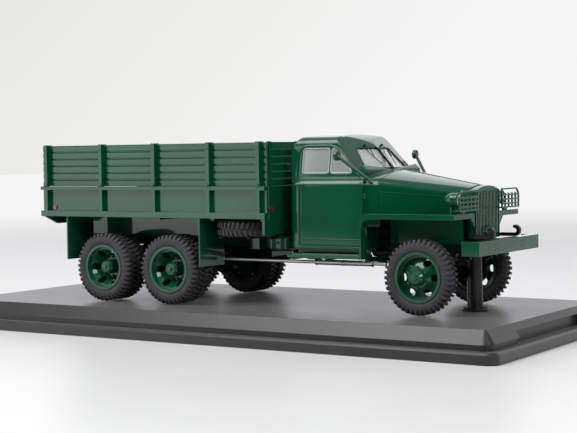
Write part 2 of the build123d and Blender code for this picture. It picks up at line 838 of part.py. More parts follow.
def cab_profile(shrink):
    """Side view of the cab from its back panel over the roof to the windscreen's foot."""
    low = cab_bottom - (1.0 if shrink else 0)
    slope = cos(radians(glass_rake)) / sin(radians(glass_rake)) * cos(radians(glass_sweep))
    brow_z = gutter_height - shrink
    top_z = roof_top + roof_margin - shrink
    glass_x = glass_foot_x - shrink / cos(radians(glass_rake))
    with BuildSketch() as profile:
        with BuildLine():
            back = Line((cab_rear_x + shrink, low), (cab_rear_x + shrink, top_z - nape_radius + shrink))
            nape = TangentArc(back @ 1, (cab_rear_x + nape_radius, top_z), tangent=back % 1)
            crown = Line(nape @ 1, (glass_foot_x - brow_reach, top_z))
            brow = (glass_x - (brow_z - glass_base) / slope, brow_z)
            TangentArc(crown @ 1, brow, tangent=crown % 1)
            Line(brow, (glass_x, glass_base))
            Polyline((glass_x, glass_base), (glass_x, low), (cab_rear_x + shrink, low))
        make_face()
    return profile.sketch


def cab_plan(shrink):
    """Plan of the cab with its rounded back corners."""
    with BuildSketch() as plan:
        with Locations((cab_rear_x + shrink, 0)):
            Rectangle(40, 2 * (cab_half_width - shrink), align=by_left)
        fillet(plan.vertices().group_by(Axis.X)[0], cab_corner - shrink)
    return plan.sketch


def cowl_section(shrink, shoulder, crown, half_width, low):
    """Arched section shared by the cowl and the bonnet's rear edge."""
    with BuildSketch() as section:
        with BuildLine():
            flank = Line((half_width - shrink, low), (half_width - shrink, shoulder - shoulder_drop))
            round_end = (half_width - shoulder_reach - shrink, shoulder + shoulder_rise - shrink)
            round_over = TangentArc(flank @ 1, round_end, tangent=flank % 1)
            ThreePointArc(round_end, (0, crown - shrink), (-round_end[0], round_end[1]))
            mirror(flank, about=Plane.YZ)
            mirror(round_over, about=Plane.YZ)
            Line((half_width - shrink, low), (-half_width + shrink, low))
        make_face()
    return section.sketch


def side_glass_plane(side):
    """The upper cab side's leaning plane: local x runs along +X, local y up the wall."""
    lean = atan2(belt_half_width - roof_half_width, gutter_height - belt_height - shoulder_rise)
    foot = (0, side * (belt_half_width - cab_wall / 2), belt_height + shoulder_rise)
    return Plane(origin=foot, x_dir=(1, 0, 0), z_dir=(0, -cos(lean), -side * sin(lean)))


def screen_outline(shrink):
    """One windscreen half, for the left side: wider at its foot."""
    with BuildSketch() as outline:
        with BuildLine():
            Polyline(
                (screen_gap + shrink, screen_foot + shrink),
                (screen_gap + screen_width - shrink, screen_foot + shrink),
                (screen_gap + screen_width - screen_taper - shrink, screen_foot + screen_height - shrink),
                (screen_gap + shrink, screen_foot + screen_height - shrink),
                close=True,
            )
        make_face()
        fillet(outline.vertices(), 0.8)
    return outline.sketch


def door_glass_outline(shrink):
    """Door window and quarter window, on the upper cab side's plane."""
    low = window_bottom - belt_height - shoulder_rise + shrink
    high = window_top - belt_height - shoulder_rise - shrink
    with BuildSketch() as outline:
        with BuildLine():
            Polyline(
                (window_rear_x + shrink, low),
                (window_front_x - shrink, low),
                (window_front_x - shrink, high),
                (window_rear_x + shrink, high),
                close=True,
            )
        make_face()
        with BuildLine():
            Polyline(
                (vent_rear_x + shrink, low),
                (vent_foot_x - shrink, low),
                (vent_top_x - shrink, high),
                (vent_rear_x + shrink, high),
                close=True,
            )
        make_face()
        fillet(outline.vertices(), 0.7)
    return outline.sketch


# Cab: a hollow shell with its windows cut, doors marked by their seams
with BuildPart() as cab_hollow:
    with BuildSketch(cross_plane(cab_rear_x - 1)):
        add(cab_section(cab_wall))
    extrude(amount=60)
    with BuildSketch(side_plane(30)):
        add(cab_profile(cab_wall))
    extrude(amount=60, mode=Mode.INTERSECT)
    with BuildSketch():
        add(cab_plan(cab_wall))
    extrude(amount=100, mode=Mode.INTERSECT)
    for side in (-1, 1):
        with BuildSketch(glass_plane(side, -cab_wall)):
            with Locations((side * 15, 0)):
                Rectangle(32, 60)
        extrude(amount=30, mode=Mode.SUBTRACT)

with BuildPart() as cab_shell:
    with BuildSketch(cross_plane(cab_rear_x - 1)):
        add(cab_section(0))
    extrude(amount=60)
    with BuildSketch(side_plane(30)):
        add(cab_profile(0))
    extrude(amount=60, mode=Mode.INTERSECT)
    with BuildSketch():
        add(cab_plan(0))
    extrude(amount=100, mode=Mode.INTERSECT)
    # windscreen halves swept back from the middle
    for side in (-1, 1):
        with BuildSketch(glass_plane(side)):
            with Locations((side * 15, 0)):
                Rectangle(32, 30, align=by_foot)
        extrude(amount=12, mode=Mode.SUBTRACT)
    add(cab_hollow.part, mode=Mode.SUBTRACT)
    # cowl between the windscreen and the bonnet
    cowl_low = wing_top - wing_bend - wing_wall
    with BuildSketch(cross_plane(glass_foot_x - cowl_overlap)):
        add(cowl_section(0, belt_height, cowl_rear_crown, cowl_rear_half_width, cowl_low))
    with BuildSketch(cross_plane(cowl_front_x)):
        add(cowl_section(0, bonnet_rear_shoulder, bonnet_rear_crown, cowl_half_width, cowl_low))
    loft()
    with BuildSketch(cross_plane(glass_foot_x - cowl_overlap)):
        add(cowl_section(cab_wall, belt_height, cowl_rear_crown, cowl_rear_half_width, cowl_low - 1))
    with BuildSketch(cross_plane(cowl_front_x)):
        add(cowl_section(cab_wall, bonnet_rear_shoulder, bonnet_rear_crown, cowl_half_width, cowl_low - 1))
    loft(mode=Mode.SUBTRACT)
    # floor, and the cut that lets the cab sit down over the frame
    with BuildSketch(Plane.XY.offset(rail_top)):
        add(cab_plan(cab_wall / 2))
        with Locations((cab_rear_x, 0)):
            Rectangle(glass_foot_x - cab_rear_x - 1, 2 * cab_half_width, align=by_left, mode=Mode.INTERSECT)
    extrude(amount=cab_wall)
    with BuildSketch(Plane.XY.offset(cab_bottom - 1)):
        with Locations((cab_rear_x - 1, 0)):
            Rectangle(60, 2 * (rail_outer_y + rail_gap), align=by_left)
    extrude(amount=rail_top - cab_bottom + 1, mode=Mode.SUBTRACT)
    # windows
    for side in (-1, 1):
        with BuildSketch(glass_plane(side)):
            if side > 0:
                add(screen_outline(0))
            else:
                add(mirror(screen_outline(0), about=Plane.YZ, mode=Mode.PRIVATE))
        extrude(amount=2.5, both=True, mode=Mode.SUBTRACT)
        with BuildSketch(side_glass_plane(side)):
            add(door_glass_outline(0))
        extrude(amount=1.6, both=True, mode=Mode.SUBTRACT)
    with BuildSketch(cross_plane(cab_rear_x)):
        with Locations((0, (window_bottom + window_top) / 2)):
            RectangleRounded(rear_window_width, rear_window_height, 1.0)
    extrude(amount=2, both=True, mode=Mode.SUBTRACT)
    # door seams
    for side in (-1, 1):
        with BuildSketch(side_plane(side * cab_half_width)):
            for seam_x in (door_rear_x, door_front_x):
                with Locations((-seam_x if side > 0 else seam_x, (door_bottom + belt_height - shoulder_drop) / 2)):
                    Rectangle(seam_width, belt_height - shoulder_drop - door_bottom)
            middle_x = (door_rear_x + door_front_x) / 2
            with Locations((-middle_x if side > 0 else middle_x, door_bottom)):
                Rectangle(door_front_x - door_rear_x + seam_width, seam_width)
        extrude(amount=seam_depth, both=True, mode=Mode.SUBTRACT)
save(cab_shell, "cab_shell")

# Glass: a pane in each opening
with BuildPart() as cab_glazing:
    for side in (-1, 1):
        with BuildSketch(glass_plane(side, -cab_wall / 2)):
            if side > 0:
                add(screen_outline(pane_clearance))
            else:
                add(mirror(screen_outline(pane_clearance), about=Plane.YZ, mode=Mode.PRIVATE))
        extrude(amount=pane_thickness / 2, both=True)
        with BuildSketch(side_glass_plane(side)):
            add(door_glass_outline(pane_clearance))
        extrude(amount=pane_thickness / 2, both=True)
    with BuildSketch(cross_plane(cab_rear_x + cab_wall / 2)):
        with Locations((0, (window_bottom + window_top) / 2)):
            RectangleRounded(rear_window_width - 2 * pane_clearance, rear_window_height - 2 * pane_clearance, 0.95)
    extrude(amount=pane_thickness / 2, both=True)
save(cab_glazing, "cab_glazing")

# Bench seat and its back
with BuildPart() as seat:
    with BuildSketch(side_plane(-seat_width / 2)):
        with BuildLine():
            Polyline(
                (cab_rear_x + cab_wall + 0.3, cabin_floor),
                (cab_rear_x + 13.0, cabin_floor),
                (cab_rear_x + 13.0, cabin_floor + 4.6),
                (cab_rear_x + 5.2, cabin_floor + 4.0),
                (cab_rear_x + 3.4, cabin_floor + 14.0),
                (cab_rear_x + cab_wall + 0.3, cabin_floor + 14.0),
                close=True,
            )
        make_face()
    extrude(amount=-seat_width)
save(seat, "seat")

# Dashboard under the windscreen
with BuildPart() as dashboard:
    with BuildSketch(side_plane(-dash_width / 2)):
        with BuildLine():
            Polyline(
                (glass_foot_x - 1.5, glass_base - 6.0),
                (glass_foot_x - 1.5, glass_base - 3.2),
                (glass_foot_x - 3.6, glass_base - 3.2),
                (glass_foot_x - 4.2, glass_base - 5.4),
                close=True,
            )
        make_face()
    extrude(amount=-dash_width)
save(dashboard, "dashboard")

# Steering wheel on its column, on the left
wheel_tilt = radians(column_tilt)
column_dir = Vector(-cos(wheel_tilt), 0, sin(wheel_tilt))
column_top = Vector(steering_x, steering_y, steering_z)
with BuildPart() as steering_wheel:
    with BuildSketch(Plane(origin=column_top, z_dir=column_dir)):
        Circle(0.5)
    extrude(amount=-column_length)
    with BuildSketch(Plane(origin=column_top, z_dir=column_dir)):
        Circle(steering_radius)
        Circle(steering_radius - 0.6, mode=Mode.SUBTRACT)
        for turn in (90, 210, 330):
            with Locations((steering_radius / 2 * cos(radians(turn)), steering_radius / 2 * sin(radians(turn)))):
                Rectangle(steering_radius - 0.2, 0.45, rotation=turn)
    extrude(amount=0.6)
save(steering_wheel, "steering_wheel")

# Bonnet: a hollow arch tapering from the cowl to the radiator
bonnet_rear_x = cowl_front_x + panel_gap
bonnet_front_x = grille_x - shell_depth - panel_gap
with BuildPart() as bonnet:
    with BuildSketch(cross_plane(bonnet_rear_x)):
        add(cowl_section(0, bonnet_rear_shoulder, bonnet_rear_crown, cowl_half_width, wing_top))
    with BuildSketch(cross_plane(bonnet_front_x)):
        add(cowl_section(0, bonnet_front_shoulder, bonnet_front_crown, grille_half_width, wing_top))
    loft()
    with BuildSketch(cross_plane(bonnet_rear_x)):
        add(cowl_section(bonnet_wall, bonnet_rear_shoulder, bonnet_rear_crown, cowl_half_width, wing_top - 1))
    with BuildSketch(cross_plane(bonnet_front_x)):
        add(cowl_section(bonnet_wall, bonnet_front_shoulder, bonnet_front_crown, grille_half_width, wing_top - 1))
    loft(mode=Mode.SUBTRACT)
save(bonnet, "bonnet")

# Front wings: flat tops with a turned-down lip, a curved rear end and an inner panel
with BuildPart() as front_wings:
    with BuildSketch(side_plane(-wing_half_width)):
        with Locations((wing_rear_x, step_bottom)):
            Rectangle(wing_front_x - wing_rear_x, wing_top - step_bottom, align=by_corner)
        fillet(vertices().group_by(Axis.X)[0].sort_by(Axis.Y)[-1], wing_bend)
    extrude(amount=-(wing_half_width - wing_inner_y))
    with BuildSketch(side_plane(-wing_half_width + wing_wall)):
        with Locations((wing_rear_x + wing_wall, step_bottom - 1)):
            Rectangle(
                wing_front_x - wing_rear_x - 2 * wing_wall, wing_top - wing_wall - step_bottom + 1, align=by_corner
            )
        fillet(vertices().group_by(Axis.X)[0].sort_by(Axis.Y)[-1], wing_bend - wing_wall)
    extrude(amount=-wing_half_width, mode=Mode.SUBTRACT)
    with BuildSketch(side_plane(-wing_half_width - 1)):
        with Locations((wing_rear_x + wing_wall, step_bottom - 1)):
            Rectangle(
                wing_front_x - wing_rear_x, wing_top - wing_lip - step_bottom + 1, align=by_corner
            )
        fillet(vertices().group_by(Axis.X)[0].sort_by(Axis.Y)[-1], wing_bend - wing_wall)
    extrude(amount=-wing_half_width, mode=Mode.SUBTRACT)
    with BuildSketch(side_plane(-inner_panel_y)):
        with Locations((cowl_front_x + panel_gap, rail_top - 0.8)):
            Rectangle(inner_panel_length, wing_top - wing_wall - rail_top + 0.8, align=by_corner)
    extrude(amount=-wing_wall)
    with BuildSketch(cross_plane(wing_front_x - wing_wall)):
        with BuildLine():
            Polyline(
                (-wing_inner_y, wing_top - wing_wall),
                (-wing_inner_y - gusset_width, wing_top - wing_wall),
                (-wing_inner_y, wing_top - gusset_height),
                close=True,
            )
        make_face()
    extrude(amount=wing_wall)
    with BuildSketch(Plane.XY.offset(step_bottom - 1)):
        with BuildLine():
            Polyline(
                (wing_rear_x - 1, 0),
                (wing_rear_x - 1, -cab_half_width - panel_gap),
                (glass_foot_x, -cab_half_width - panel_gap),
                (cowl_front_x, -cowl_half_width - panel_gap),
                (cowl_front_x, 0),
                close=True,
            )
        make_face()
    extrude(amount=60, mode=Mode.SUBTRACT)
    mirror(about=Plane.XZ)
save(front_wings, "front_wings")

# Steps between the wings and the bed, carried by brackets under the rails
with BuildPart() as steps:
    with BuildSketch(Plane.XY.offset(step_bottom)):
        with Locations((step_rear_x, -wing_half_width)):
            Rectangle(wing_rear_x - step_rear_x, wing_half_width - step_inner_y, align=by_corner)
    extrude(amount=step_thickness)
    with BuildSketch(Plane.XY.offset(step_bottom + step_thickness)):
        for place in (0.18, 0.82):
            with Locations((step_rear_x + (wing_rear_x - step_rear_x) * place, -step_inner_y - 1.5)):
                Rectangle(1.4, step_inner_y + 1.5 - rail_outer_y + rail_flange, align=by_foot)
    extrude(amount=rail_bottom - step_bottom - step_thickness)
    with BuildSketch(Plane.XY.offset(step_bottom + step_thickness)):
        with Locations((step_rear_x, -step_inner_y - 1.5)):
            Rectangle(wing_rear_x - step_rear_x, wing_wall, align=by_corner)
    extrude(amount=cab_bottom - step_bottom - step_thickness - panel_gap)
    mirror(about=Plane.XZ)
save(steps, "steps")

with BuildSketch() as grille_outline:
    with BuildLine():
        Polyline(
            (-grille_half_width, grille_top),
            (-grille_half_width, grille_bottom),
            (grille_half_width, grille_bottom),
            (grille_half_width, grille_top),
        )
        ThreePointArc((grille_half_width, grille_top), (0, shell_top), (-grille_half_width, grille_top))
    make_face()

# Radiator grille: a folded shell with upright bars and the ring round the crank hole
with BuildPart() as radiator_grille:
    with BuildSketch(cross_plane(grille_x - shell_depth)):
        add(grille_outline.sketch)
        offset(amount=-grille_wall, mode=Mode.SUBTRACT)
    extrude(amount=shell_depth)
    bar_pitch = 2 * (grille_half_width - grille_wall) / (bar_count + 1)
    with BuildSketch(cross_plane(grille_x - bar_depth)):
        with Locations((0, (grille_bottom + grille_top) / 2)):
            with GridLocations(bar_pitch, 1, bar_count, 1):
                Rectangle(bar_width, grille_top - grille_bottom)
        with Locations((0, crank_height)):
            Circle(crank_radius)
    extrude(amount=bar_depth)
    with BuildSketch(cross_plane(grille_x - bar_depth)):
        with Locations((0, crank_height)):
            Circle(crank_radius - 0.5)
    extrude(amount=bar_depth, mode=Mode.SUBTRACT)
save(radiator_grille, "radiator_grille")

# Headlight guards: barred frames from the grille out to the wings' corners
with BuildPart() as headlight_guards:
    with BuildSketch(cross_plane(guard_x)) as guard_face:
        with BuildLine():
            Polyline(
                (guard_outer_y - guard_slope, guard_top),
                (guard_inner_y, guard_top),
                (guard_inner_y, guard_bottom),
                (guard_outer_y, guard_bottom),
                (guard_outer_y, guard_shoulder),
            )
            ThreePointArc(
                (guard_outer_y, guard_shoulder),
                (guard_outer_y - guard_slope * 0.3, guard_shoulder + (guard_top - guard_shoulder) * 0.68),
                (guard_outer_y - guard_slope, guard_top),
            )
        make_face()
        offset(amount=-guard_wire, mode=Mode.SUBTRACT)
        for bar in range(1, guard_bars):
            bar_y = guard_inner_y + (guard_outer_y - guard_inner_y) * bar / guard_bars
            with Locations((bar_y, guard_bottom)):
                Rectangle(guard_wire, guard_shoulder - guard_bottom + 0.6, align=by_foot)
        for row in range(1, guard_rows):
            row_z = guard_bottom + (guard_shoulder - guard_bottom) * row / (guard_rows - 1)
            with Locations((guard_inner_y, row_z)):
                Rectangle(guard_outer_y - guard_inner_y, guard_wire, align=by_left)
    extrude(amount=guard_wire)
    with BuildSketch(Plane.XY.offset(guard_bottom)):
        with Locations((guard_x + guard_wire, guard_inner_y)):
            Rectangle(guard_foot, guard_outer_y - guard_inner_y, align=(Align.MAX, Align.MIN))
    extrude(amount=guard_wire)
    with BuildSketch(Plane.XY.offset(guard_bottom)):
        with Locations((wing_front_x - 1.0, (guard_inner_y + guard_outer_y) / 2)):
            Rectangle(0.8, 2.0)
    extrude(amount=-(guard_bottom - wing_top))
    mirror(about=Plane.XZ)
save(headlight_guards, "headlight_guards")

# Headlights: a round shell on a short stem, and the lens in its rim
with BuildPart() as headlights:
    with BuildSketch(Plane(origin=(lamp_rear_x, -lamp_y, lamp_height), x_dir=(1, 0, 0), z_dir=(0, -1, 0))):
        with BuildLine():
            Polyline((0, 0), (lamp_length, 0))
            bowl = ThreePointArc((0, 0), (lamp_length * 0.3, lamp_radius * 0.8), (lamp_length - 0.7, lamp_radius - 0.15))
            Polyline(bowl @ 1, (lamp_length - 0.7, lamp_radius), (lamp_length, lamp_radius), (lamp_length, 0))
        make_face()
    revolve(axis=Axis((lamp_rear_x, -lamp_y, lamp_height), (1, 0, 0)))
    with BuildSketch(cross_plane(lamp_rear_x + lamp_length)):
        with Locations((-lamp_y, lamp_height)):
            Circle(lamp_radius - 0.35)
    extrude(amount=-0.6, mode=Mode.SUBTRACT)
    with BuildSketch(Plane.XY.offset(wing_top)):
        with Locations((lamp_rear_x + lamp_length * 0.55, -lamp_y)):
            Circle(0.6)
    extrude(amount=lamp_height - lamp_radius * 0.7 - wing_top)
    mirror(about=Plane.XZ)
save(headlights, "headlights")

with BuildPart() as headlight_lenses:
    with BuildSketch(Plane(origin=(lamp_rear_x + lamp_length - 0.55, -lamp_y, lamp_height), x_dir=(1, 0, 0), z_dir=(0, -1, 0))):
        with BuildLine():
            lens_radius = lamp_radius - 0.4
            dome = (lens_radius**2 + lens_bulge**2) / (2 * lens_bulge)
            half = atan2(lens_radius, dome - lens_bulge) / 2
            tip = lens_edge + lens_bulge
            Polyline((tip, 0), (0, 0), (0, lens_radius), (lens_edge, lens_radius))
            ThreePointArc((lens_edge, lens_radius), (tip - dome + dome * cos(half), dome * sin(half)), (tip, 0))
        make_face()
    revolve(axis=Axis((lamp_rear_x, -lamp_y, lamp_height), (1, 0, 0)))
    mirror(about=Plane.XZ)
save(headlight_lenses, "headlight_lenses")

# Mirrors: a round head on an arm from the cowl
with BuildPart() as mirrors:
    arm_foot = Vector(*mirror_foot)
    arm_top = Vector(*mirror_head)
    arm_run = arm_top - arm_foot
    with BuildSketch(Plane(origin=arm_foot, z_dir=arm_run.normalized())):
        Circle(mirror_arm_radius)
    extrude(amount=arm_run.length)
    with BuildSketch(cross_plane(mirror_head[0] - 0.5)):
        with Locations((mirror_head[1], mirror_head[2])):
            Circle(mirror_radius)
    extrude(amount=0.9)
    mirror(about=Plane.XZ)
save(mirrors, "mirrors")

# Wipers hung from above the glass, one on each half
with BuildPart() as wipers:
    for side in (-1, 1):
        with BuildSketch(glass_plane(side)):
            with Locations((side * wiper_x, screen_foot + screen_height + 0.5)):
                Rectangle(0.4, wiper_length, rotation=side * wiper_turn, align=by_top)
        extrude(amount=0.35)
save(wipers, "wipers")

# Bed floor with its runners, cross bearers and rear skirt
bed_length = bed_front_x - bed_rear_x
bay_table = [-132.0, -109.3, -88.4, -67.9, -49.9]
with BuildPart() as bed_floor:
    with BuildSketch(Plane.XY.offset(bed_bottom)):
        with Locations((bed_rear_x + side_wall, 0)):
            Rectangle(bed_length - 2 * side_wall, 2 * panel_y, align=by_left)
    extrude(amount=floor_thickness)
    with BuildSketch(Plane.XY.offset(rail_top)):
        for side, front_x in ((-1, spare_x - tyre_radius - runner_inset), (1, bed_front_x - side_wall)):
            with Locations((bed_rear_x + runner_inset, side * (rail_outer_y - rail_flange / 2))):
                Rectangle(front_x - bed_rear_x - 2 * runner_inset, rail_flange, align=by_left)
    extrude(amount=bed_bottom - rail_top)
    with BuildSketch(Plane.XY.offset(bed_bottom)):
        for place in bay_table:
            with Locations((front_axle_x + place + stake_width / 2, 0)):
                Rectangle(stake_width, 2 * panel_y)
    extrude(amount=-bearer_height)
    with BuildSketch(cross_plane(bed_rear_x + side_wall)):
        with BuildLine():
            Polyline(
                (-bed_half_width, bed_bottom),
                (-bed_half_width + 6.0, bed_bottom - skirt_height),
                (bed_half_width - 6.0, bed_bottom - skirt_height),
                (bed_half_width, bed_bottom),
                close=True,
            )
        make_face()
    extrude(amount=side_wall)
save(bed_floor, "bed_floor")

# Bed sides: a panel between two rails, with the stakes standing outside the slats
for label, side in (("bed_side_right", -1), ("bed_side_left", 1)):
    outer = side * bed_half_width
    with BuildPart() as bed_side:
        with BuildSketch(side_plane(side * panel_y, side)):
            with Locations((-side * bed_rear_x, bed_bottom)):
                Rectangle(
                    bed_length,
                    mid_rail_bottom + mid_rail - bed_bottom,
                    align=(Align.MIN if side < 0 else Align.MAX, Align.MIN),
                )
        extrude(amount=side_wall)
        with BuildSketch(side_plane(side * panel_y, side)):
            for low, high in ((bed_bottom, bed_bottom + bed_rail), (mid_rail_bottom, mid_rail_bottom + mid_rail)):
                with Locations((-side * bed_rear_x, low)):
                    Rectangle(bed_length, high - low, align=(Align.MIN if side < 0 else Align.MAX, Align.MIN))
        extrude(amount=bed_half_width - panel_y)
        with BuildSketch(side_plane(side * (bed_half_width - stake_depth), side)):
            for place in bay_table:
                with Locations((-side * (front_axle_x + place + stake_width / 2), bed_bottom)):
                    Rectangle(stake_width, rack_top - bed_bottom, align=by_foot)
        extrude(amount=stake_depth)
    save(bed_side, label)

# Slatted racks inside the stakes
slat_pitch = (rack_top - mid_rail_bottom - mid_rail) / slat_count
slat_y = bed_half_width - stake_depth - panel_gap - slat_thickness
batten_y = slat_y - batten_depth
for label, side in (("rack_right", -1), ("rack_left", 1)):
    with BuildPart() as rack:
        face_y = slat_y + slat_thickness
        back_y = slat_y + slat_thickness / 2
        with BuildSketch(cross_plane(bed_rear_x)):
            for slat in range(slat_count):
                low = mid_rail_bottom + mid_rail + panel_gap + slat_pitch * slat
                high = low + slat_pitch - slat_gap
                with BuildLine():
                    Polyline(
                        (side * slat_y, low),
                        (side * face_y, low),
                        (side * face_y, high - slat_bevel),
                        (side * (face_y - slat_bevel), high),
                        (side * slat_y, high),
                        close=True,
                    )
                make_face()
            with Locations((side * (slat_y + back_y) / 2, mid_rail_bottom + mid_rail + panel_gap)):
                Rectangle(back_y - slat_y, slat_pitch * slat_count - slat_gap, align=by_foot)
        extrude(amount=bed_length)
        with BuildSketch(side_plane(side * batten_y, side)):
            for place in bay_table:
                with Locations((-side * (front_axle_x + place + stake_width / 2), mid_rail_bottom + mid_rail + panel_gap)):
                    Rectangle(stake_width, rack_top - mid_rail_bottom - mid_rail - panel_gap, align=by_foot)
        extrude(amount=batten_depth)
    save(rack, label)

# Front board: solid below, slatted above, with a skirt hanging behind the cab
inner_y = panel_y - panel_gap
with BuildPart() as bed_front:
    with BuildSketch(cross_plane(bed_front_x - side_wall)):
        with Locations((0, bed_bottom + floor_thickness)):
            Rectangle(2 * inner_y, mid_rail_bottom + mid_rail - bed_bottom - floor_thickness, align=by_foot)
        for slat in range(slat_count):
            with Locations((0, mid_rail_bottom + mid_rail + slat_pitch * (slat + 0.5))):
                Rectangle(2 * (batten_y - panel_gap), slat_pitch - slat_gap)
        for place in (-1, -0.33, 0.33, 1):
            with Locations((place * (batten_y - panel_gap - stake_width / 2), mid_rail_bottom)):
                Rectangle(stake_width, rack_top - mid_rail_bottom, align=by_foot)
        with Locations((0, front_skirt_bottom)):
            Rectangle(2 * bed_half_width, bed_bottom - front_skirt_bottom, align=by_foot)
        with Locations((0, bed_bottom)):
            Rectangle(2 * inner_y, floor_thickness, align=by_foot)
    extrude(amount=side_wall)
save(bed_front, "bed_front")

# Tailgate between the sides
with BuildPart() as tailgate:
    with BuildSketch(cross_plane(bed_rear_x)):
        with Locations((0, bed_bottom)):
            Rectangle(2 * inner_y, mid_rail_bottom + mid_rail - bed_bottom, align=by_foot)
    extrude(amount=side_wall)
    with BuildSketch(cross_plane(bed_rear_x)):
        for low, high in ((bed_bottom, bed_bottom + bed_rail), (mid_rail_bottom, mid_rail_bottom + mid_rail)):
            with Locations((0, low)):
                Rectangle(2 * inner_y, high - low, align=by_foot)
        for place in (-0.6, 0, 0.6):
            with Locations((place * inner_y, bed_bottom)):
                Rectangle(stake_width, mid_rail_bottom + mid_rail - bed_bottom, align=by_foot)
    extrude(amount=-0.5)
save(tailgate, "tailgate")

# Mudguards before and behind the bogie
with BuildPart() as mudguards:
    for place, low in ((mud_rear_x, mud_rear_bottom), (mud_front_x, mud_front_bottom)):
        with BuildSketch(cross_plane(place)):
            with Locations((-bed_half_width, low)):
                Rectangle(mud_width, bed_bottom - low, align=by_corner)
        extrude(amount=mud_thickness)
    mirror(about=Plane.XZ)
save(mudguards, "mudguards")

# Round reflectors on the sides' rear bay and on the front board
with BuildPart() as reflectors:
    for side in (-1, 1):
        with BuildSketch(side_plane(side * (panel_y + side_wall), side)):
            with Locations((-side * reflector_x, reflector_height)):
                Circle(reflector_radius)
        extrude(amount=reflector_depth)
        with BuildSketch(cross_plane(bed_front_x)):
            with Locations((side * reflector_front_y, reflector_height)):
                Circle(reflector_radius)
        extrude(amount=reflector_depth)
save(reflectors, "reflectors")
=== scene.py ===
import bpy
import bmesh
import json
from math import cos, radians, sin, tau
from mathutils import Matrix, Vector


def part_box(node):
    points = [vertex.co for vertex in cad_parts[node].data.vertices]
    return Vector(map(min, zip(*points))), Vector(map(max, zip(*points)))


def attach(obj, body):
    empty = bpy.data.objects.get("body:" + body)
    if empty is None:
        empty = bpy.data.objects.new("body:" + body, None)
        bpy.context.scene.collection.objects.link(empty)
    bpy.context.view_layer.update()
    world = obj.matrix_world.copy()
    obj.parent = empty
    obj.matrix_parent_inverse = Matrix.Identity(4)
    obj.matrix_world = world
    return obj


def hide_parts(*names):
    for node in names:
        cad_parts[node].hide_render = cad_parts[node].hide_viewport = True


# Display model of a six-wheel cargo truck on its plinth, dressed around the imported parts.
# Lengths in the dictionaries are millimetres, and mm turns them into metres.
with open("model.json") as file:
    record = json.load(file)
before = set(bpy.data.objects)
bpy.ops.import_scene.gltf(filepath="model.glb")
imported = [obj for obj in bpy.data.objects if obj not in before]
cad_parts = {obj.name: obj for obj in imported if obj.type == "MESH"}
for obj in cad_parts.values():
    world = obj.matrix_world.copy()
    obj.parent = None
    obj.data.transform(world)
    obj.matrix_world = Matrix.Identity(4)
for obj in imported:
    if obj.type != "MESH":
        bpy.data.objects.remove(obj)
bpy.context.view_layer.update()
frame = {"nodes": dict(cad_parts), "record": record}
mm = 0.001
root = "root"


def linear(hexColour):
    # sRGB hex to the linear values that shaders use
    parts = [int(hexColour[i : i + 2], 16) / 255 for i in (1, 3, 5)]
    return tuple(p / 12.92 if p <= 0.04045 else ((p + 0.055) / 1.055) ** 2.4 for p in parts) + (1.0,)


def addNode(tree, kind, settings=None, links=None):
    # settings name an input socket (or its number) or else a property; links go into input sockets
    node = tree.nodes.new(kind)
    for key, value in (settings or {}).items():
        if isinstance(key, int) or key in node.inputs:
            node.inputs[key].default_value = value
        else:
            setattr(node, key, value)
    for key, source in (links or {}).items():
        tree.links.new(source, node.inputs[key])
    return node


def newMaterial(name):
    material = bpy.data.materials.new(name)
    material.use_nodes = True
    material.node_tree.nodes.clear()
    return material, material.node_tree


def finishMaterial(tree, shader):
    addNode(tree, "ShaderNodeOutputMaterial", links={"Surface": shader.outputs[0]})


def patternNoise(tree, size, detail=2.0, roughness=0.5):
    # noise whose blobs are about size millimetres across, on the object's own coordinates
    place = addNode(tree, "ShaderNodeTexCoord")
    settings = {"Scale": 1 / (size * mm), "Detail": detail, "Roughness": roughness}
    return addNode(tree, "ShaderNodeTexNoise", settings, {"Vector": place.outputs["Object"]})


def colourBetween(tree, factor, low, high, start=0.3, end=0.7):
    ramp = addNode(tree, "ShaderNodeValToRGB", links={"Fac": factor})
    ramp.color_ramp.elements[0].position = start
    ramp.color_ramp.elements[0].color = linear(low)
    ramp.color_ramp.elements[1].position = end
    ramp.color_ramp.elements[1].color = linear(high)
    return ramp.outputs["Color"]


def softEdge(tree, radius):
    # rounds hard edges in the shading, as paint and moulding do
    return addNode(tree, "ShaderNodeBevel", {"samples": 6, "Radius": radius * mm})


# Gloss enamel sprayed on die-cast metal: deep, even green with a clear wet shine, a faint
# orange peel near 1 mm, and soft edges where the paint runs together. Its tone drifts over
# 22 mm, and dust dulls it in patches of 6 mm.
def enamelPaint(name, low, high, roughness, coat, peel=0.06, edgeRadius=0.16):
    material, tree = newMaterial(name)
    cloud = patternNoise(tree, 22.0, detail=3.0)
    peelNoise = patternNoise(tree, 0.9, detail=1.0)
    edge = softEdge(tree, edgeRadius)
    bump = addNode(tree, "ShaderNodeBump", {"Strength": peel, "Distance": 0.04 * mm},
                   {"Height": peelNoise.outputs["Fac"], "Normal": edge.outputs["Normal"]})
    dust = patternNoise(tree, 6.0, detail=6.0, roughness=0.7)
    shine = addNode(
        tree,
        "ShaderNodeMapRange",
        {"From Min": 0.3, "From Max": 0.8, "To Min": roughness, "To Max": roughness + 0.07},
        {"Value": dust.outputs["Fac"]},
    )
    shader = addNode(
        tree,
        "ShaderNodeBsdfPrincipled",
        {
            "IOR": 1.5,
            "Specular IOR Level": 0.1,
            "Coat Weight": coat,
            "Coat Roughness": 0.05,
            "Coat IOR": 1.5,
        },
        {
            "Base Color": colourBetween(tree, cloud.outputs["Fac"], low, high),
            "Roughness": shine.outputs["Result"],
            "Normal": bump.outputs["Normal"],
            "Coat Normal": bump.outputs["Normal"],
        },
    )
    finishMaterial(tree, shader)
    return material


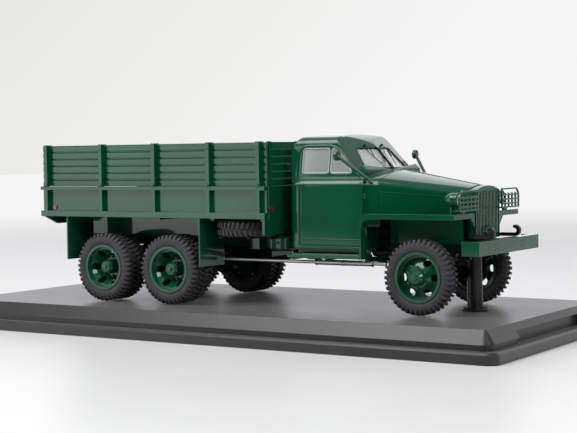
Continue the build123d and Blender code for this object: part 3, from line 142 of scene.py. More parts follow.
# Injection-moulded ABS: a satin skin with a fine grain from the mould, clouded over 9 mm
def mouldedPlastic(name, low, high, roughness, grain=0.35, strength=0.12, haze=0.0):
    material, tree = newMaterial(name)
    cloud = patternNoise(tree, 9.0, detail=4.0)
    # real grain is near 0.1 mm, drawn coarser so that it shows
    grainNoise = patternNoise(tree, grain, detail=2.0)
    edge = softEdge(tree, 0.15)
    bump = addNode(tree, "ShaderNodeBump", {"Strength": strength, "Distance": 0.05 * mm},
                   {"Height": grainNoise.outputs["Fac"], "Normal": edge.outputs["Normal"]})
    shine = addNode(
        tree,
        "ShaderNodeMapRange",
        {"From Min": 0.3, "From Max": 0.7, "To Min": roughness - 0.02, "To Max": roughness + 0.02},
        {"Value": cloud.outputs["Fac"]},
    )
    shader = addNode(
        tree,
        "ShaderNodeBsdfPrincipled",
        {"IOR": 1.53, "Specular IOR Level": 0.5, "Sheen Weight": haze, "Sheen Roughness": 0.35},
        {
            "Base Color": colourBetween(tree, cloud.outputs["Fac"], low, high),
            "Roughness": shine.outputs["Result"],
            "Normal": bump.outputs["Normal"],
        },
    )
    finishMaterial(tree, shader)
    return material


# Soft vinyl rubber: grey-black and dry, rubbed paler in patches of 2.5 mm, with a 0.3 mm grain
def tyreRubber(name):
    material, tree = newMaterial(name)
    cloud = patternNoise(tree, 2.5, detail=5.0, roughness=0.6)
    fine = patternNoise(tree, 0.3, detail=2.0)
    edge = softEdge(tree, 0.12)
    bump = addNode(tree, "ShaderNodeBump", {"Strength": 0.25, "Distance": 0.05 * mm},
                   {"Height": fine.outputs["Fac"], "Normal": edge.outputs["Normal"]})
    shader = addNode(
        tree,
        "ShaderNodeBsdfPrincipled",
        {
            "IOR": 1.5,
            "Roughness": 0.62,
            "Specular IOR Level": 0.45,
            "Sheen Weight": 0.15,
            "Sheen Roughness": 0.5,
        },
        {
            "Base Color": colourBetween(tree, cloud.outputs["Fac"], "#2c2c2f", "#3a3a3e"),
            "Normal": bump.outputs["Normal"],
        },
    )
    finishMaterial(tree, shader)
    return material


# Silver lacquer: 0.4 mm clumps of flake in a thin clear film, brighter than bare steel
def silverLacquer(name):
    material, tree = newMaterial(name)
    flake = patternNoise(tree, 0.4, detail=3.0)
    cloud = patternNoise(tree, 5.0)
    bump = addNode(
        tree,
        "ShaderNodeBump",
        {"Strength": 0.15, "Distance": 0.03 * mm},
        {"Height": flake.outputs["Fac"]},
    )
    shader = addNode(
        tree,
        "ShaderNodeBsdfPrincipled",
        {"Metallic": 0.9, "Roughness": 0.33},
        {
            "Base Color": colourBetween(tree, cloud.outputs["Fac"], "#a9abae", "#c9cbcd"),
            "Normal": bump.outputs["Normal"],
        },
    )
    finishMaterial(tree, shader)
    return material


# Clear polystyrene pane, moulded thick, with slow waves 4 mm apart; clearness is the share of
# light that it lets through. The rest is scattered off the pale tint, a painted brightness for light seen
# through the glass
def clearPane(name, tint, clearness):
    material, tree = newMaterial(name)
    wave = patternNoise(tree, 4.0, detail=1.0)
    bump = addNode(
        tree,
        "ShaderNodeBump",
        {"Strength": 0.08, "Distance": 0.05 * mm},
        {"Height": wave.outputs["Fac"]},
    )
    shader = addNode(
        tree,
        "ShaderNodeBsdfPrincipled",
        {
            "Base Color": linear(tint),
            "IOR": 1.45,
            "Roughness": 0.03,
            "Transmission Weight": clearness,
            "Specular IOR Level": 0.5,
        },
        {"Normal": bump.outputs["Normal"]},
    )
    finishMaterial(tree, shader)
    return material


# Silvered plastic lens with broad upright flutes, about 3 mm apart
def flutedLens(name):
    material, tree = newMaterial(name)
    place = addNode(tree, "ShaderNodeTexCoord")
    # its phase is 20 radians a unit at scale 1: here a radian in 0.5 mm, so a flute in 3.1 mm
    flutes = addNode(
        tree,
        "ShaderNodeTexWave",
        {"Scale": 1 / (0.5 * mm) / 20, "wave_type": "BANDS", "bands_direction": "Y"},
        {"Vector": place.outputs["Object"]},
    )
    bump = addNode(
        tree,
        "ShaderNodeBump",
        {"Strength": 0.5, "Distance": 0.08 * mm},
        {"Height": flutes.outputs["Fac"]},
    )
    shader = addNode(
        tree,
        "ShaderNodeBsdfPrincipled",
        {
            "Base Color": linear("#dfe4e2"),
            "Metallic": 0.55,
            "Roughness": 0.15,
            "Coat Weight": 1.0,
            "Coat Roughness": 0.03,
        },
        {"Normal": bump.outputs["Normal"]},
    )
    finishMaterial(tree, shader)
    return material


# Transparent red plastic button with 0.35 mm facets
def redReflector(name):
    material, tree = newMaterial(name)
    facets = addNode(tree, "ShaderNodeTexVoronoi", {"Scale": 1 / (0.35 * mm)},
                     {"Vector": addNode(tree, "ShaderNodeTexCoord").outputs["Object"]})
    bump = addNode(
        tree,
        "ShaderNodeBump",
        {"Strength": 0.4, "Distance": 0.05 * mm},
        {"Height": facets.outputs["Distance"]},
    )
    shader = addNode(
        tree,
        "ShaderNodeBsdfPrincipled",
        {"IOR": 1.49, "Roughness": 0.18, "Coat Weight": 0.6},
        {
            "Base Color": colourBetween(
                tree, facets.outputs["Distance"], "#c23a24", "#7d130c", 0.0, 0.6,
            ),
            "Normal": bump.outputs["Normal"],
        },
    )
    finishMaterial(tree, shader)
    return material


truckGreen = enamelPaint("truckEnamel", "#024a31", "#045238", 0.18, 0.9)
cabGreen = enamelPaint("cabEnamel", "#024a31", "#045238", 0.18, 0.9, edgeRadius=0.8)
chassisGreen = enamelPaint("chassisEnamel", "#03241a", "#052a1e", 0.4, 0.12, peel=0.1)
plinthBlack = mouldedPlastic("plinthPlastic", "#212122", "#2a2a2b", 0.34, strength=0.06, haze=0.42)
postBlack = mouldedPlastic("postPlastic", "#161617", "#1c1c1e", 0.34)
tyreBlack = tyreRubber("tyreRubber")
hookBlack = mouldedPlastic("blackPlastic", "#0d0d0e", "#131314", 0.3, strength=0.05)
engineGrey = mouldedPlastic("engineCasting", "#26302b", "#303b35", 0.5)
exhaustSilver = silverLacquer("silverLacquer")
# only 72% let through: the pale remainder is painted brightness for light seen through the windows
clearGlass = clearPane("clearPane", "#eef4f1", 0.72)
lampGlass = flutedLens("flutedLens")
reflectorRed = redReflector("redReflector")
# pale plastic for the window edges: a painted highlight for light caught in the glazing's edges
edgeHighlightPlastic = mouldedPlastic("clearEdge", "#aeb8b2", "#c4ccc7", 0.2, strength=0.05)
sealBlack = mouldedPlastic("rubberSeal", "#0c0c0d", "#121213", 0.4, strength=0.05)
seatBrown = mouldedPlastic("seatPlastic", "#3a2a1c", "#463323", 0.55, grain=0.6, strength=0.3)
print("materials made")

slotMaterials = {
    "truck_green": truckGreen,
    "chassis_green": chassisGreen,
    "plinth_black": plinthBlack,
    "tyre_black": tyreBlack,
    "hook_black": hookBlack,
    "engine_grey": engineGrey,
    "exhaust_silver": exhaustSilver,
    "clear_glass": clearGlass,
    "lamp_glass": lampGlass,
    "reflector_red": reflectorRed,
    "seat_brown": seatBrown,
}
nodeSlots = {part["node"]: part["material_slot"] for part in frame["record"]["subparts"]}
for nodeName, node in frame["nodes"].items():
    node.data.materials.clear()
    node.data.materials.append(slotMaterials[nodeSlots[nodeName]])
frame["nodes"]["display_posts"].data.materials[0] = postBlack
frame["nodes"]["cab_shell"].data.materials[0] = cabGreen


def makePiece(bm, name, slotName, body, material=None, smooth=False):
    # a finished mesh at the origin, riding on its body
    bmesh.ops.recalc_face_normals(bm, faces=bm.faces)
    mesh = bpy.data.meshes.new(name)
    bm.to_mesh(mesh)
    bm.free()
    piece = bpy.data.objects.new(name, mesh)
    bpy.context.scene.collection.objects.link(piece)
    mesh.materials.append(material or slotMaterials[slotName])
    if smooth:
        mesh.polygons.foreach_set("use_smooth", [True] * len(mesh.polygons))
        mesh.set_sharp_from_angle(angle=radians(35))
    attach(piece, body)
    return piece


def nodeBox(name):
    low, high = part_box(name)
    return low / mm, high / mm


# Lugged tyres: a carcass with two rows of staggered bar lugs that run down the shoulders
tyreShape = {
    "lugs": 42,
    "tipRadius": 10.6,
    "baseRadius": 9.95,
    "beadRadius": 6.86,
    "width": 4.7,
    "treadWidth": 4.1,
    "beadWidth": 3.6,
    "lugFoot": 8.75,  # how far down the sidewall a lug reaches
    "lugShare": 0.5,  # lug width over pitch
    "lugLean": 0.35,  # how far its inner end runs ahead, over pitch
    "lugInner": 0.3,  # from the tyre's middle to a lug's inner end
    "lugShift": 0.25,  # how far each row is shifted, one forwards and one back, over pitch
    "stepsPerLug": 2,
    # sidewall points from the bead up. The first numbers go up from the bead, up from the belly and
    # down from the base. The second go out from the bead's face, and in from the tyre's side.
    "aboveBead": ((0.0, 0.0), (0.35, 0.1), (0.5, 0.24)),
    "roundBelly": ((-0.6, 0.1), (0.0, 0.0), (0.7, 0.02)),
    "belowBase": ((0.65, 0.1), (0.25, 0.3), (0.0, 0.75)),
    "crownRise": 0.05,
    # corners of a lug's outline: its shoulder's slope, how far it stands out, how far it is sunk in
    "shoulderIn": 0.25,
    "shoulderDrop": 0.3,
    "lugProud": 0.02,
    "lugRoot": 0.1,
    "lugSunk": 0.5,
}


def tyreSection(shape):
    # section of the carcass as (radius, place across), from bead to bead
    half = shape["width"] / 2
    bead = shape["beadWidth"] / 2
    belly = (shape["beadRadius"] + shape["baseRadius"]) / 2
    side = [(shape["beadRadius"] + up, bead + out) for up, out in shape["aboveBead"]]
    side += [(belly + up, half - inward) for up, inward in shape["roundBelly"]]
    side += [(shape["baseRadius"] - down, half - inward) for down, inward in shape["belowBase"]]
    crown = (shape["baseRadius"] + shape["crownRise"], 0.0)
    return [(r, -y) for r, y in side] + [crown] + [(r, y) for r, y in reversed(side)]


def lugSection(shape):
    # outline of one lug seen along the tread, for the side at +Y: up at its inner end, over the
    # shoulder, down the sidewall and back inside the carcass
    half, edge = shape["width"] / 2, shape["treadWidth"] / 2
    base, tip, foot = shape["baseRadius"], shape["tipRadius"], shape["lugFoot"]
    return [
        (base - shape["lugRoot"], shape["lugInner"]),
        (tip, shape["lugInner"]),
        (tip, edge - shape["shoulderIn"]),
        (tip - shape["shoulderDrop"], edge + shape["lugProud"]),
        (base - shape["shoulderDrop"], half),
        (foot, half + shape["lugProud"]),
        (foot + shape["lugRoot"], half - shape["shoulderIn"]),
        (base - shape["lugSunk"], half - shape["lugSunk"]),
    ]


def addTyre(bm, centre, axis, shape, turn):
    # spins the carcass and the lugs about +Y at the origin, then stands them on centre and axis
    start = len(bm.verts)
    section = [bm.verts.new((r * mm, y * mm, 0)) for r, y in tyreSection(shape)]
    edges = [bm.edges.new((section[i], section[i + 1])) for i in range(len(section) - 1)]
    edges.append(bm.edges.new((section[-1], section[0])))
    steps = shape["lugs"] * shape["stepsPerLug"]
    bmesh.ops.spin(bm, geom=edges, cent=(0, 0, 0), axis=(0, 1, 0), angle=tau, steps=steps, use_merge=True)
    pitch = tau / shape["lugs"]
    for side in (-1, 1):
        # one lug: its leading face, pulled along the tread by the lug's width, then copied round
        lead = []
        for r, y in lugSection(shape):
            outwards = (y - shape["lugInner"]) / (shape["width"] / 2 - shape["lugInner"])
            reach = 1 - min(1.0, max(0.0, outwards))
            angle = pitch * (shape["lugLean"] * reach - shape["lugShare"] / 2 + shape["lugShift"] * side)
            lead.append(bm.verts.new((r * cos(angle) * mm, side * y * mm, r * sin(angle) * mm)))
        face = bm.faces.new(lead)
        made = bmesh.ops.extrude_face_region(bm, geom=[face], use_keep_orig=True)["geom"]
        far = [item for item in made if isinstance(item, bmesh.types.BMVert)]
        width = Matrix.Rotation(-pitch * shape["lugShare"], 3, "Y")
        bmesh.ops.rotate(bm, verts=far, cent=(0, 0, 0), matrix=width)
        faces = list({item for vert in lead + far for item in vert.link_faces})
        copies = shape["lugs"] - 1
        bmesh.ops.spin(
            bm,
            geom=faces,
            cent=(0, 0, 0),
            axis=(0, 1, 0),
            angle=tau * copies / shape["lugs"],
            steps=copies,
            use_duplicate=True,
        )
    bm.verts.ensure_lookup_table()
    verts = bm.verts[start:]
    bmesh.ops.rotate(bm, verts=verts, cent=(0, 0, 0), matrix=Matrix.Rotation(turn, 3, "Y"))
    if axis == "Z":
        bmesh.ops.rotate(bm, verts=verts, cent=(0, 0, 0), matrix=Matrix.Rotation(radians(90), 3, "X"))
    bmesh.ops.translate(bm, verts=verts, vec=Vector(centre) * mm)


# Each tyre's node, and how far its lugs are turned, in radians, so that no two line up
tyreNodes = {
    "front_right_tyre": 0.4, "front_left_tyre": 1.1, "middle_right_tyre": 0.0, "middle_left_tyre": 0.7,
    "rear_right_tyre": 1.5, "rear_left_tyre": 0.2, "spare_tyre": 0.9,
}
for nodeName, turn in tyreNodes.items():
    low, high = nodeBox(nodeName)
    middle = (low + high) / 2
    bm = bmesh.new()
    if nodeName == "spare_tyre":
        addTyre(bm, middle, "Z", tyreShape, turn)
        body = root
    else:
        body = nodeName.replace("_tyre", "_wheel_set")
        half = tyreShape["width"] / 2
        twin = high.y - low.y > tyreShape["width"] + 1
        places = (low.y + half, high.y - half) if twin else (middle.y,)
        for y in places:
            addTyre(bm, (middle.x, y, middle.z), "Y", tyreShape, turn)
    tyre = makePiece(bm, "lugged_" + nodeName, "tyre_black", body, smooth=True)
    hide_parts(nodeName)
print("tyres made")


# Helpers for trim. All lengths are millimetres, and mirrorAcross makes the other side of the truck.
def addBlock(bm, centre, size, bevel=0.08):
    # a box with softened edges
    scale = Matrix.Diagonal((*(Vector(size) * mm), 1.0))
    made = bmesh.ops.create_cube(bm, size=1.0, matrix=Matrix.Translation(Vector(centre) * mm) @ scale)
    edges = list({edge for vert in made["verts"] for edge in vert.link_edges})
    bmesh.ops.bevel(bm, geom=edges, offset=bevel * mm, segments=2, affect="EDGES", profile=0.5, material=-1)


def addPeg(bm, centre, axis, radius, depth, sides=16, bevel=0.06):
    # a round peg or a hexagonal nut with softened rims
    turn = Vector(axis).to_track_quat("Z", "Y").to_matrix().to_4x4()
    place = Matrix.Translation(Vector(centre) * mm) @ turn
    made = bmesh.ops.create_cone(bm, cap_ends=True, segments=sides, radius1=radius * mm, radius2=radius * mm,
                                 depth=depth * mm, matrix=place)
    faces = {face for vert in made["verts"] for face in vert.link_faces if len(face.verts) == sides}
    rims = list({edge for face in faces for edge in face.edges})
    bmesh.ops.bevel(bm, geom=rims, offset=bevel * mm, segments=2, affect="EDGES", profile=0.5, material=-1)


def addTube(bm, points, radius, reference=(0, 1, 0), sides=8, closed=False):
    # a round bar along points; reference keeps its sides from twisting
    path = [Vector(point) * mm for point in points]
    last = len(path) - 1
    rings = []
    for i, point in enumerate(path):
        before = path[i - 1] if closed or i > 0 else point
        after = path[(i + 1) % len(path)] if closed or i < last else point
        along = (after - before).normalized()
        u = (Vector(reference) - along * along.dot(Vector(reference))).normalized()
        turn = Matrix((u, along.cross(u), along)).transposed().to_4x4()
        capped = not closed and i in (0, last)
        made = bmesh.ops.create_circle(
            bm,
            cap_ends=capped,
            radius=radius * mm,
            segments=sides,
            matrix=Matrix.Translation(point) @ turn,
        )
        ring = set(made["verts"])
        rings.append([edge for vert in ring for edge in vert.link_edges if edge.other_vert(vert) in ring])
    for near, far in zip(rings, rings[1:] + rings[:1] if closed else rings[1:]):
        bmesh.ops.bridge_loops(bm, edges=list(set(near + far)))


def addRing(bm, centre, axis, ringRadius, radius, steps=48, sides=8):
    # a round bar bent into a circle about axis
    turn = Vector(axis).to_track_quat("Z", "Y").to_matrix().to_4x4()
    place = Matrix.Translation(Vector(centre) * mm) @ turn
    section = place @ Matrix.Translation((ringRadius * mm, 0, 0)) @ Matrix.Rotation(radians(90), 4, "X")
    made = bmesh.ops.create_circle(bm, radius=radius * mm, segments=sides, matrix=section)
    edges = list({edge for vert in made["verts"] for edge in vert.link_edges})
    bmesh.ops.spin(
        bm,
        geom=edges,
        cent=Vector(centre) * mm,
        axis=Vector(axis),
        angle=tau,
        steps=steps,
        use_merge=True,
    )


def roundedPath(points, radius, closed=False, steps=5):
    # a path in a plane with its corners eased by short curves, none longer than 1 / 2.2 of a side
    count = len(points)
    places = [Vector(point) for point in points]
    path = []
    for i, corner in enumerate(places):
        if not closed and i in (0, count - 1):
            path.append(corner)
            continue
        before, after = places[i - 1], places[(i + 1) % count]
        reach = min(radius, (before - corner).length / 2.2, (after - corner).length / 2.2)
        start = corner + (before - corner).normalized() * reach
        end = corner + (after - corner).normalized() * reach
        for k in range(steps + 1):
            t = k / steps
            path.append(start * (1 - t) ** 2 + corner * 2 * t * (1 - t) + end * t**2)
    return path


def mirrorAcross(bm):
    # copies all that is there to the other side of the truck
    made = bmesh.ops.duplicate(bm, geom=bm.verts[:] + bm.edges[:] + bm.faces[:])["geom"]
    verts = [item for item in made if isinstance(item, bmesh.types.BMVert)]
    faces = [item for item in made if isinstance(item, bmesh.types.BMFace)]
    for vert in verts:
        vert.co.y = -vert.co.y
    bmesh.ops.reverse_faces(bm, faces=faces)


deck = nodeBox("plinth")[1].z

# Cab sides above the belt lean inwards; trim lies on that face
cabSide = {"beltZ": deck + 38.6, "beltY": 17.0, "gutterZ": deck + 48.0, "gutterY": 15.4}


def onCabSide(x, z, lift=0.0):
    # a place on the right side of the cab, above the belt
    share = (z - cabSide["beltZ"]) / (cabSide["gutterZ"] - cabSide["beltZ"])
    return Vector((x, -(cabSide["beltY"] + (cabSide["gutterY"] - cabSide["beltY"]) * share + lift), z))


# Rain gutter and door frame: one bead up the door's rear edge, along the roof and down the pillar
doorFrame = {
    "rearX": 22.6,
    "footZ": deck + 39.0,
    "topZ": deck + 48.0,
    "frontX": 35.6,
    "pillarFoot": (43.4, deck + 39.0),
    "corner": 3.2,
    "radius": 0.34,
}
bm = bmesh.new()
corners = [
    (doorFrame["rearX"], doorFrame["footZ"], 0),
    (doorFrame["rearX"], doorFrame["topZ"], 0),
    (doorFrame["frontX"], doorFrame["topZ"], 0),
    (*doorFrame["pillarFoot"], 0),
]
path = [onCabSide(point.x, point.y) for point in roundedPath(corners, doorFrame["corner"], steps=8)]
addTube(bm, path, doorFrame["radius"])
mirrorAcross(bm)
makePiece(bm, "doorFrames", "truck_green", root, smooth=True)

# Side windows: pale tubes round the clear panes, a painted highlight standing in for light caught in the
# glazing's thick edges
sideWindows = {
    "low": deck + 40.0,
    "high": deck + 47.2,
    "rear": 24.0,
    "post": 33.0,
    "ventRear": 33.7,
    "ventFoot": 41.0,
    "ventTop": 36.4,
    "corner": 0.8,
    "radius": 0.2,
    "sunk": 0.15,
}
bm = bmesh.new()
low, high = sideWindows["low"], sideWindows["high"]
paneCorners = [
    [
        (sideWindows["rear"], low, 0),
        (sideWindows["post"], low, 0),
        (sideWindows["post"], high, 0),
        (sideWindows["rear"], high, 0),
    ],
    [
        (sideWindows["ventRear"], low, 0),
        (sideWindows["ventFoot"], low, 0),
        (sideWindows["ventTop"], high, 0),
        (sideWindows["ventRear"], high, 0),
    ],
]
for corners in paneCorners:
    path = [
        onCabSide(point.x, point.y, -sideWindows["sunk"])
        for point in roundedPath(corners, sideWindows["corner"], closed=True)
    ]
    addTube(bm, path, sideWindows["radius"], closed=True)
mirrorAcross(bm)
makePiece(bm, "windowEdges", "clear_glass", root, material=edgeHighlightPlastic, smooth=True)

# Windscreen: two halves swept back from the middle, with rubber seals and wipers hung from above
windscreen = {
    "foot": (45.7, 0.0, deck + 40.8),
    "rake": 41.2,
    "sweep": 10.3,
    "inner": 0.45,
    "outer": 12.65,
    "outerTop": 11.05,
    "low": 0.5,
    "high": 8.4,
    "seal": 0.2,
    "corner": 0.9,
    "bar": (0.2, 8.9),
    "barLift": 0.05,
    "barRadius": 0.3,
}


def onGlass(side, across, up, lift=0.0):
    # a place on the half of the windscreen on that side; lift stands it off the glass
    rake, sweep = radians(windscreen["rake"]), radians(windscreen["sweep"])
    normal = Vector((cos(rake) * cos(sweep), side * cos(rake) * sin(sweep), sin(rake)))
    outward = Vector((-sin(sweep), side * cos(sweep), 0))
    rise = Vector((-sin(rake) * cos(sweep), -side * sin(rake) * sin(sweep), cos(rake)))
    return Vector(windscreen["foot"]) + outward * across + rise * up + normal * lift


bm = bmesh.new()
corners = [
    (windscreen["inner"], windscreen["low"], 0),
    (windscreen["outer"], windscreen["low"], 0),
    (windscreen["outerTop"], windscreen["high"], 0),
    (windscreen["inner"], windscreen["high"], 0),
]
for side in (-1, 1):
    path = [
        onGlass(side, point.x, point.y)
        for point in roundedPath(corners, windscreen["corner"], closed=True)
    ]
    addTube(bm, path, windscreen["seal"], (1, 0, 1), closed=True)
addTube(bm, [onGlass(1, 0, up, windscreen["barLift"]) for up in windscreen["bar"]], windscreen["barRadius"])
makePiece(bm, "windscreenSeals", "hook_black", root, material=sealBlack, smooth=True)

# Wipers: an arm from a pivot on the header, and a blade that hangs across the glass
wiperShape = {
    "pivot": (6.4, 9.4, 0.3),
    "knee": (5.9, 7.4, 0.75),
    "bladeTop": (7.4, 7.7, 0.32),
    "bladeFoot": (4.4, 1.9, 0.32),
    "armLift": 0.45,
    "armRadius": 0.14,
    "bladeRadius": 0.13,
    "pivotRadius": 0.34,
    "pivotDepth": 0.7,
}
bm = bmesh.new()
for side in (-1, 1):
    pivot, knee, top, foot = (
        onGlass(side, *wiperShape[key]) for key in ("pivot", "knee", "bladeTop", "bladeFoot")
    )
    middle = [(a + b) / 2 for a, b in zip(wiperShape["bladeTop"][:2], wiperShape["bladeFoot"][:2])]
    outward = onGlass(side, 0, 0, 1) - onGlass(side, 0, 0)
    addPeg(bm, pivot, outward, wiperShape["pivotRadius"], wiperShape["pivotDepth"], sides=12)
    addTube(bm, [pivot, knee, onGlass(side, *middle, wiperShape["armLift"])], wiperShape["armRadius"])
    addTube(bm, [top, foot], wiperShape["bladeRadius"])
wipers = makePiece(bm, "wiperArms", "hook_black", root, smooth=True)
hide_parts("wipers")
print("cab glass trim made")

# Doors: lever handles, hinges on the front edge, and the bead along the sill
doorTrim = {
    "sideY": 19.0,
    "handleX": (22.7, 26.2),
    "handleZ": deck + 36.7,
    "handleProud": 0.45,
    "handleSection": (0.3, 0.45),
    "handleBevel": 0.1,
    "shankInset": 0.5,
    "shankProud": 0.1,
    "shankRadius": 0.32,
    "shankDepth": 0.7,
    "hingeX": 46.3,
    "hingeZ": (deck + 23.5, deck + 33.5),
    "hingeProud": 0.05,
    "hingeRadius": 0.3,
    "hingeHeight": 1.7,
    "creaseZ": deck + 20.9,
    "creaseX": (24.6, 46.2),
    "creaseRadius": 0.12,
}
bm = bmesh.new()
rear, front = doorTrim["handleX"]
sideY, handleZ = -doorTrim["sideY"], doorTrim["handleZ"]
lever = (front - rear, *doorTrim["handleSection"])
addBlock(bm, ((rear + front) / 2, sideY - doorTrim["handleProud"], handleZ), lever, doorTrim["handleBevel"])
shank = (front - doorTrim["shankInset"], sideY - doorTrim["shankProud"], handleZ)
addPeg(bm, shank, (0, -1, 0), doorTrim["shankRadius"], doorTrim["shankDepth"])
for z in doorTrim["hingeZ"]:
    hinge = (doorTrim["hingeX"], sideY - doorTrim["hingeProud"], z)
    addPeg(bm, hinge, (0, 0, 1), doorTrim["hingeRadius"], doorTrim["hingeHeight"])
addTube(bm, [(x, sideY, doorTrim["creaseZ"]) for x in doorTrim["creaseX"]], doorTrim["creaseRadius"])
mirrorAcross(bm)
makePiece(bm, "doorTrim", "truck_green", root, smooth=True)

# Bonnet: the hinge along its crown and the joint of each side panel, from the rear to the front
bonnetTrim = {"hinge": ((49.8, 0, deck + 40.5), (73.2, 0, deck + 36.2)), "hingeRadius": 0.2,
              "joint": ((49.8, -17.0, deck + 34.6), (73.2, -7.95, deck + 32.6)), "jointRadius": 0.12}
bm = bmesh.new()
addTube(bm, bonnetTrim["hinge"], bonnetTrim["hingeRadius"])
makePiece(bm, "bonnetHinge", "truck_green", root, smooth=True)
bm = bmesh.new()
addTube(bm, bonnetTrim["joint"], bonnetTrim["jointRadius"])
mirrorAcross(bm)
makePiece(bm, "bonnetSideTrim", "truck_green", root, smooth=True)

# Grille: the pressed header that closes the arch above the bars
grilleHeader = {
    "x": 75.15,
    "depth": 0.5,
    "halfWidth": 7.4,
    "foot": deck + 34.2,
    "shoulder": deck + 34.5,
    "crown": deck + 35.7,
    "archSteps": 6,
}
bm = bmesh.new()
rise = grilleHeader["crown"] - grilleHeader["shoulder"]
outline = [
    (-grilleHeader["halfWidth"], grilleHeader["foot"]),
    (grilleHeader["halfWidth"], grilleHeader["foot"]),
]
for k in range(2 * grilleHeader["archSteps"] + 1):
    share = 1 - k / grilleHeader["archSteps"]
    outline.append((grilleHeader["halfWidth"] * share, grilleHeader["shoulder"] + rise * (1 - share**2)))
verts = [bm.verts.new((grilleHeader["x"] * mm, y * mm, z * mm)) for y, z in outline]
made = bmesh.ops.extrude_face_region(bm, geom=[bm.faces.new(verts)])
top = [item for item in made["geom"] if isinstance(item, bmesh.types.BMVert)]
bmesh.ops.translate(bm, verts=top, vec=(grilleHeader["depth"] * mm, 0, 0))
makePiece(bm, "grilleHeader", "truck_green", root)

# Headlights: the rim that holds each lens
lampRim = {
    "centre": (73.6, -14.5, deck + 32.3),
    "ring": 1.85,
    "radius": 0.2,
    "foot": (0.5, 0.4, 0.4),
    "footBack": 0.1,
    "footDrop": 0.15,
}
bm = bmesh.new()
addRing(bm, lampRim["centre"], (1, 0, 0), lampRim["ring"], lampRim["radius"])
foot = Vector(lampRim["centre"]) - Vector((lampRim["footBack"], 0, lampRim["ring"] + lampRim["footDrop"]))
addBlock(bm, foot, lampRim["foot"])
mirrorAcross(bm)
makePiece(bm, "lampRims", "truck_green", root, smooth=True)
print("cab, bonnet and lamp trim made")

# Wheels: nuts round the hub, the hub cap and its bolts, and the bead ring of each rim.
# The wheel's own Y, its disc's and its rim's places differ between front and twin wheels.
wheelTrim = {
    "nuts": 6,
    "nutCircle": 3.05,
    "nutRadius": 0.42,
    "nutHeight": 0.5,
    "nutSunk": 0.2,
    "capBolts": 8,
    "boltCircle": 1.25,
    "boltRadius": 0.17,
    "boltDepth": 0.3,
    "boltBevel": 0.04,
    "capRadius": 0.75,
    "capDepth": 0.5,
    "capProud": 0.1,
    "capBevel": 0.12,
    "hubEnd": 3.8,
    "beadRing": 6.42,
    "beadRadius": 0.16,
    "lipOffset": 2.05,
}
frontWheel = {"y": 18.45, "disc": 1.8, "step": 0.0}
twinWheel = {"y": 20.675, "disc": 0.0, "step": 2.675}


def aroundAxle(middle, side, circle, angle, y):
    # a place on a circle round a wheel's axle, y out from the truck's middle
    return (middle.x + circle * cos(angle), side * y, middle.z + circle * sin(angle))


for nodeName in tyreNodes:
    if nodeName == "spare_tyre":
        continue
    low, high = nodeBox(nodeName)
    middle = (low + high) / 2
    side = 1 if middle.y > 0 else -1
    wheel = frontWheel if nodeName.startswith("front") else twinWheel
    hubY = wheel["y"] + wheelTrim["hubEnd"]
    outward = (0, side, 0)
    bm = bmesh.new()
    for k in range(wheelTrim["nuts"]):
        nutY = wheel["y"] + wheel["disc"] + wheelTrim["nutHeight"] / 2
        place = aroundAxle(middle, side, wheelTrim["nutCircle"], tau * (k + 0.5) / wheelTrim["nuts"], nutY)
        addPeg(
            bm,
            place,
            outward,
            wheelTrim["nutRadius"],
            wheelTrim["nutHeight"] + wheelTrim["nutSunk"],
            sides=6,
        )
    for k in range(wheelTrim["capBolts"]):
        place = aroundAxle(middle, side, wheelTrim["boltCircle"], tau * k / wheelTrim["capBolts"], hubY)
        addPeg(
            bm,
            place,
            outward,
            wheelTrim["boltRadius"],
            wheelTrim["boltDepth"],
            sides=8,
            bevel=wheelTrim["boltBevel"],
        )
    cap = aroundAxle(middle, side, 0, 0, hubY + wheelTrim["capProud"])
    addPeg(
        bm,
        cap,
        outward,
        wheelTrim["capRadius"],
        wheelTrim["capDepth"],
        sides=24,
        bevel=wheelTrim["capBevel"],
    )
    rim = aroundAxle(middle, side, 0, 0, wheel["y"] + wheel["step"] + wheelTrim["lipOffset"])
    addRing(bm, rim, outward, wheelTrim["beadRing"], wheelTrim["beadRadius"], steps=72)
    wheelName = nodeName.replace("_tyre", "")
    makePiece(bm, "wheelTrim_" + wheelName, "truck_green", wheelName + "_wheel_set", smooth=True)
print("wheel trim made")

# Bed: stake pockets on the middle rail with a bolt above each, the tailgate's hinges and
# catches, and thin black marks beside each stake in the lower panels, painted shade for slots
bedTrim = {
    "stakeX": (-68.4, -45.7, -24.8, -4.3, 13.7),
    "stakeWidth": 1.3,
    "outerY": 26.0,
    "railTop": deck + 36.3,
    "rearX": -69.95,
    "pocketOver": 0.45,
    "pocketDepth": 0.6,
    "pocketHeight": 1.25,
    "pocketSunk": (0.1, 0.2),
    "pocketBevel": 0.12,
    "boltZ": deck + 47.6,
    "boltProud": 0.02,
    "boltRadius": 0.22,
    "boltDepth": 0.25,
    "boltBevel": 0.05,
    "hingeY": (-14.16, 0.0, 14.16),
    "hingeProud": 0.5,
    "hingeZ": deck + 26.8,
    "hingeRadius": 0.42,
    "hingeWidth": 2.4,
    "catchY": 22.6,
    "catchProud": 0.25,
    "catchDrop": 0.9,
    "catch": (0.6, 2.4, 0.8),
    "catchBevel": 0.15,
}
bm = bmesh.new()
sunkY, sunkZ = bedTrim["pocketSunk"]
pocket = (bedTrim["stakeWidth"] + bedTrim["pocketOver"], bedTrim["pocketDepth"], bedTrim["pocketHeight"])
pocketZ = bedTrim["railTop"] + bedTrim["pocketHeight"] / 2 - sunkZ
for x in bedTrim["stakeX"]:
    middleX = x + bedTrim["stakeWidth"] / 2
    addBlock(bm, (middleX, -bedTrim["outerY"] + sunkY, pocketZ), pocket, bedTrim["pocketBevel"])
    bolt = (middleX, -bedTrim["outerY"] - bedTrim["boltProud"], bedTrim["boltZ"])
    addPeg(
        bm,
        bolt,
        (0, 1, 0),
        bedTrim["boltRadius"],
        bedTrim["boltDepth"],
        sides=10,
        bevel=bedTrim["boltBevel"],
    )
mirrorAcross(bm)
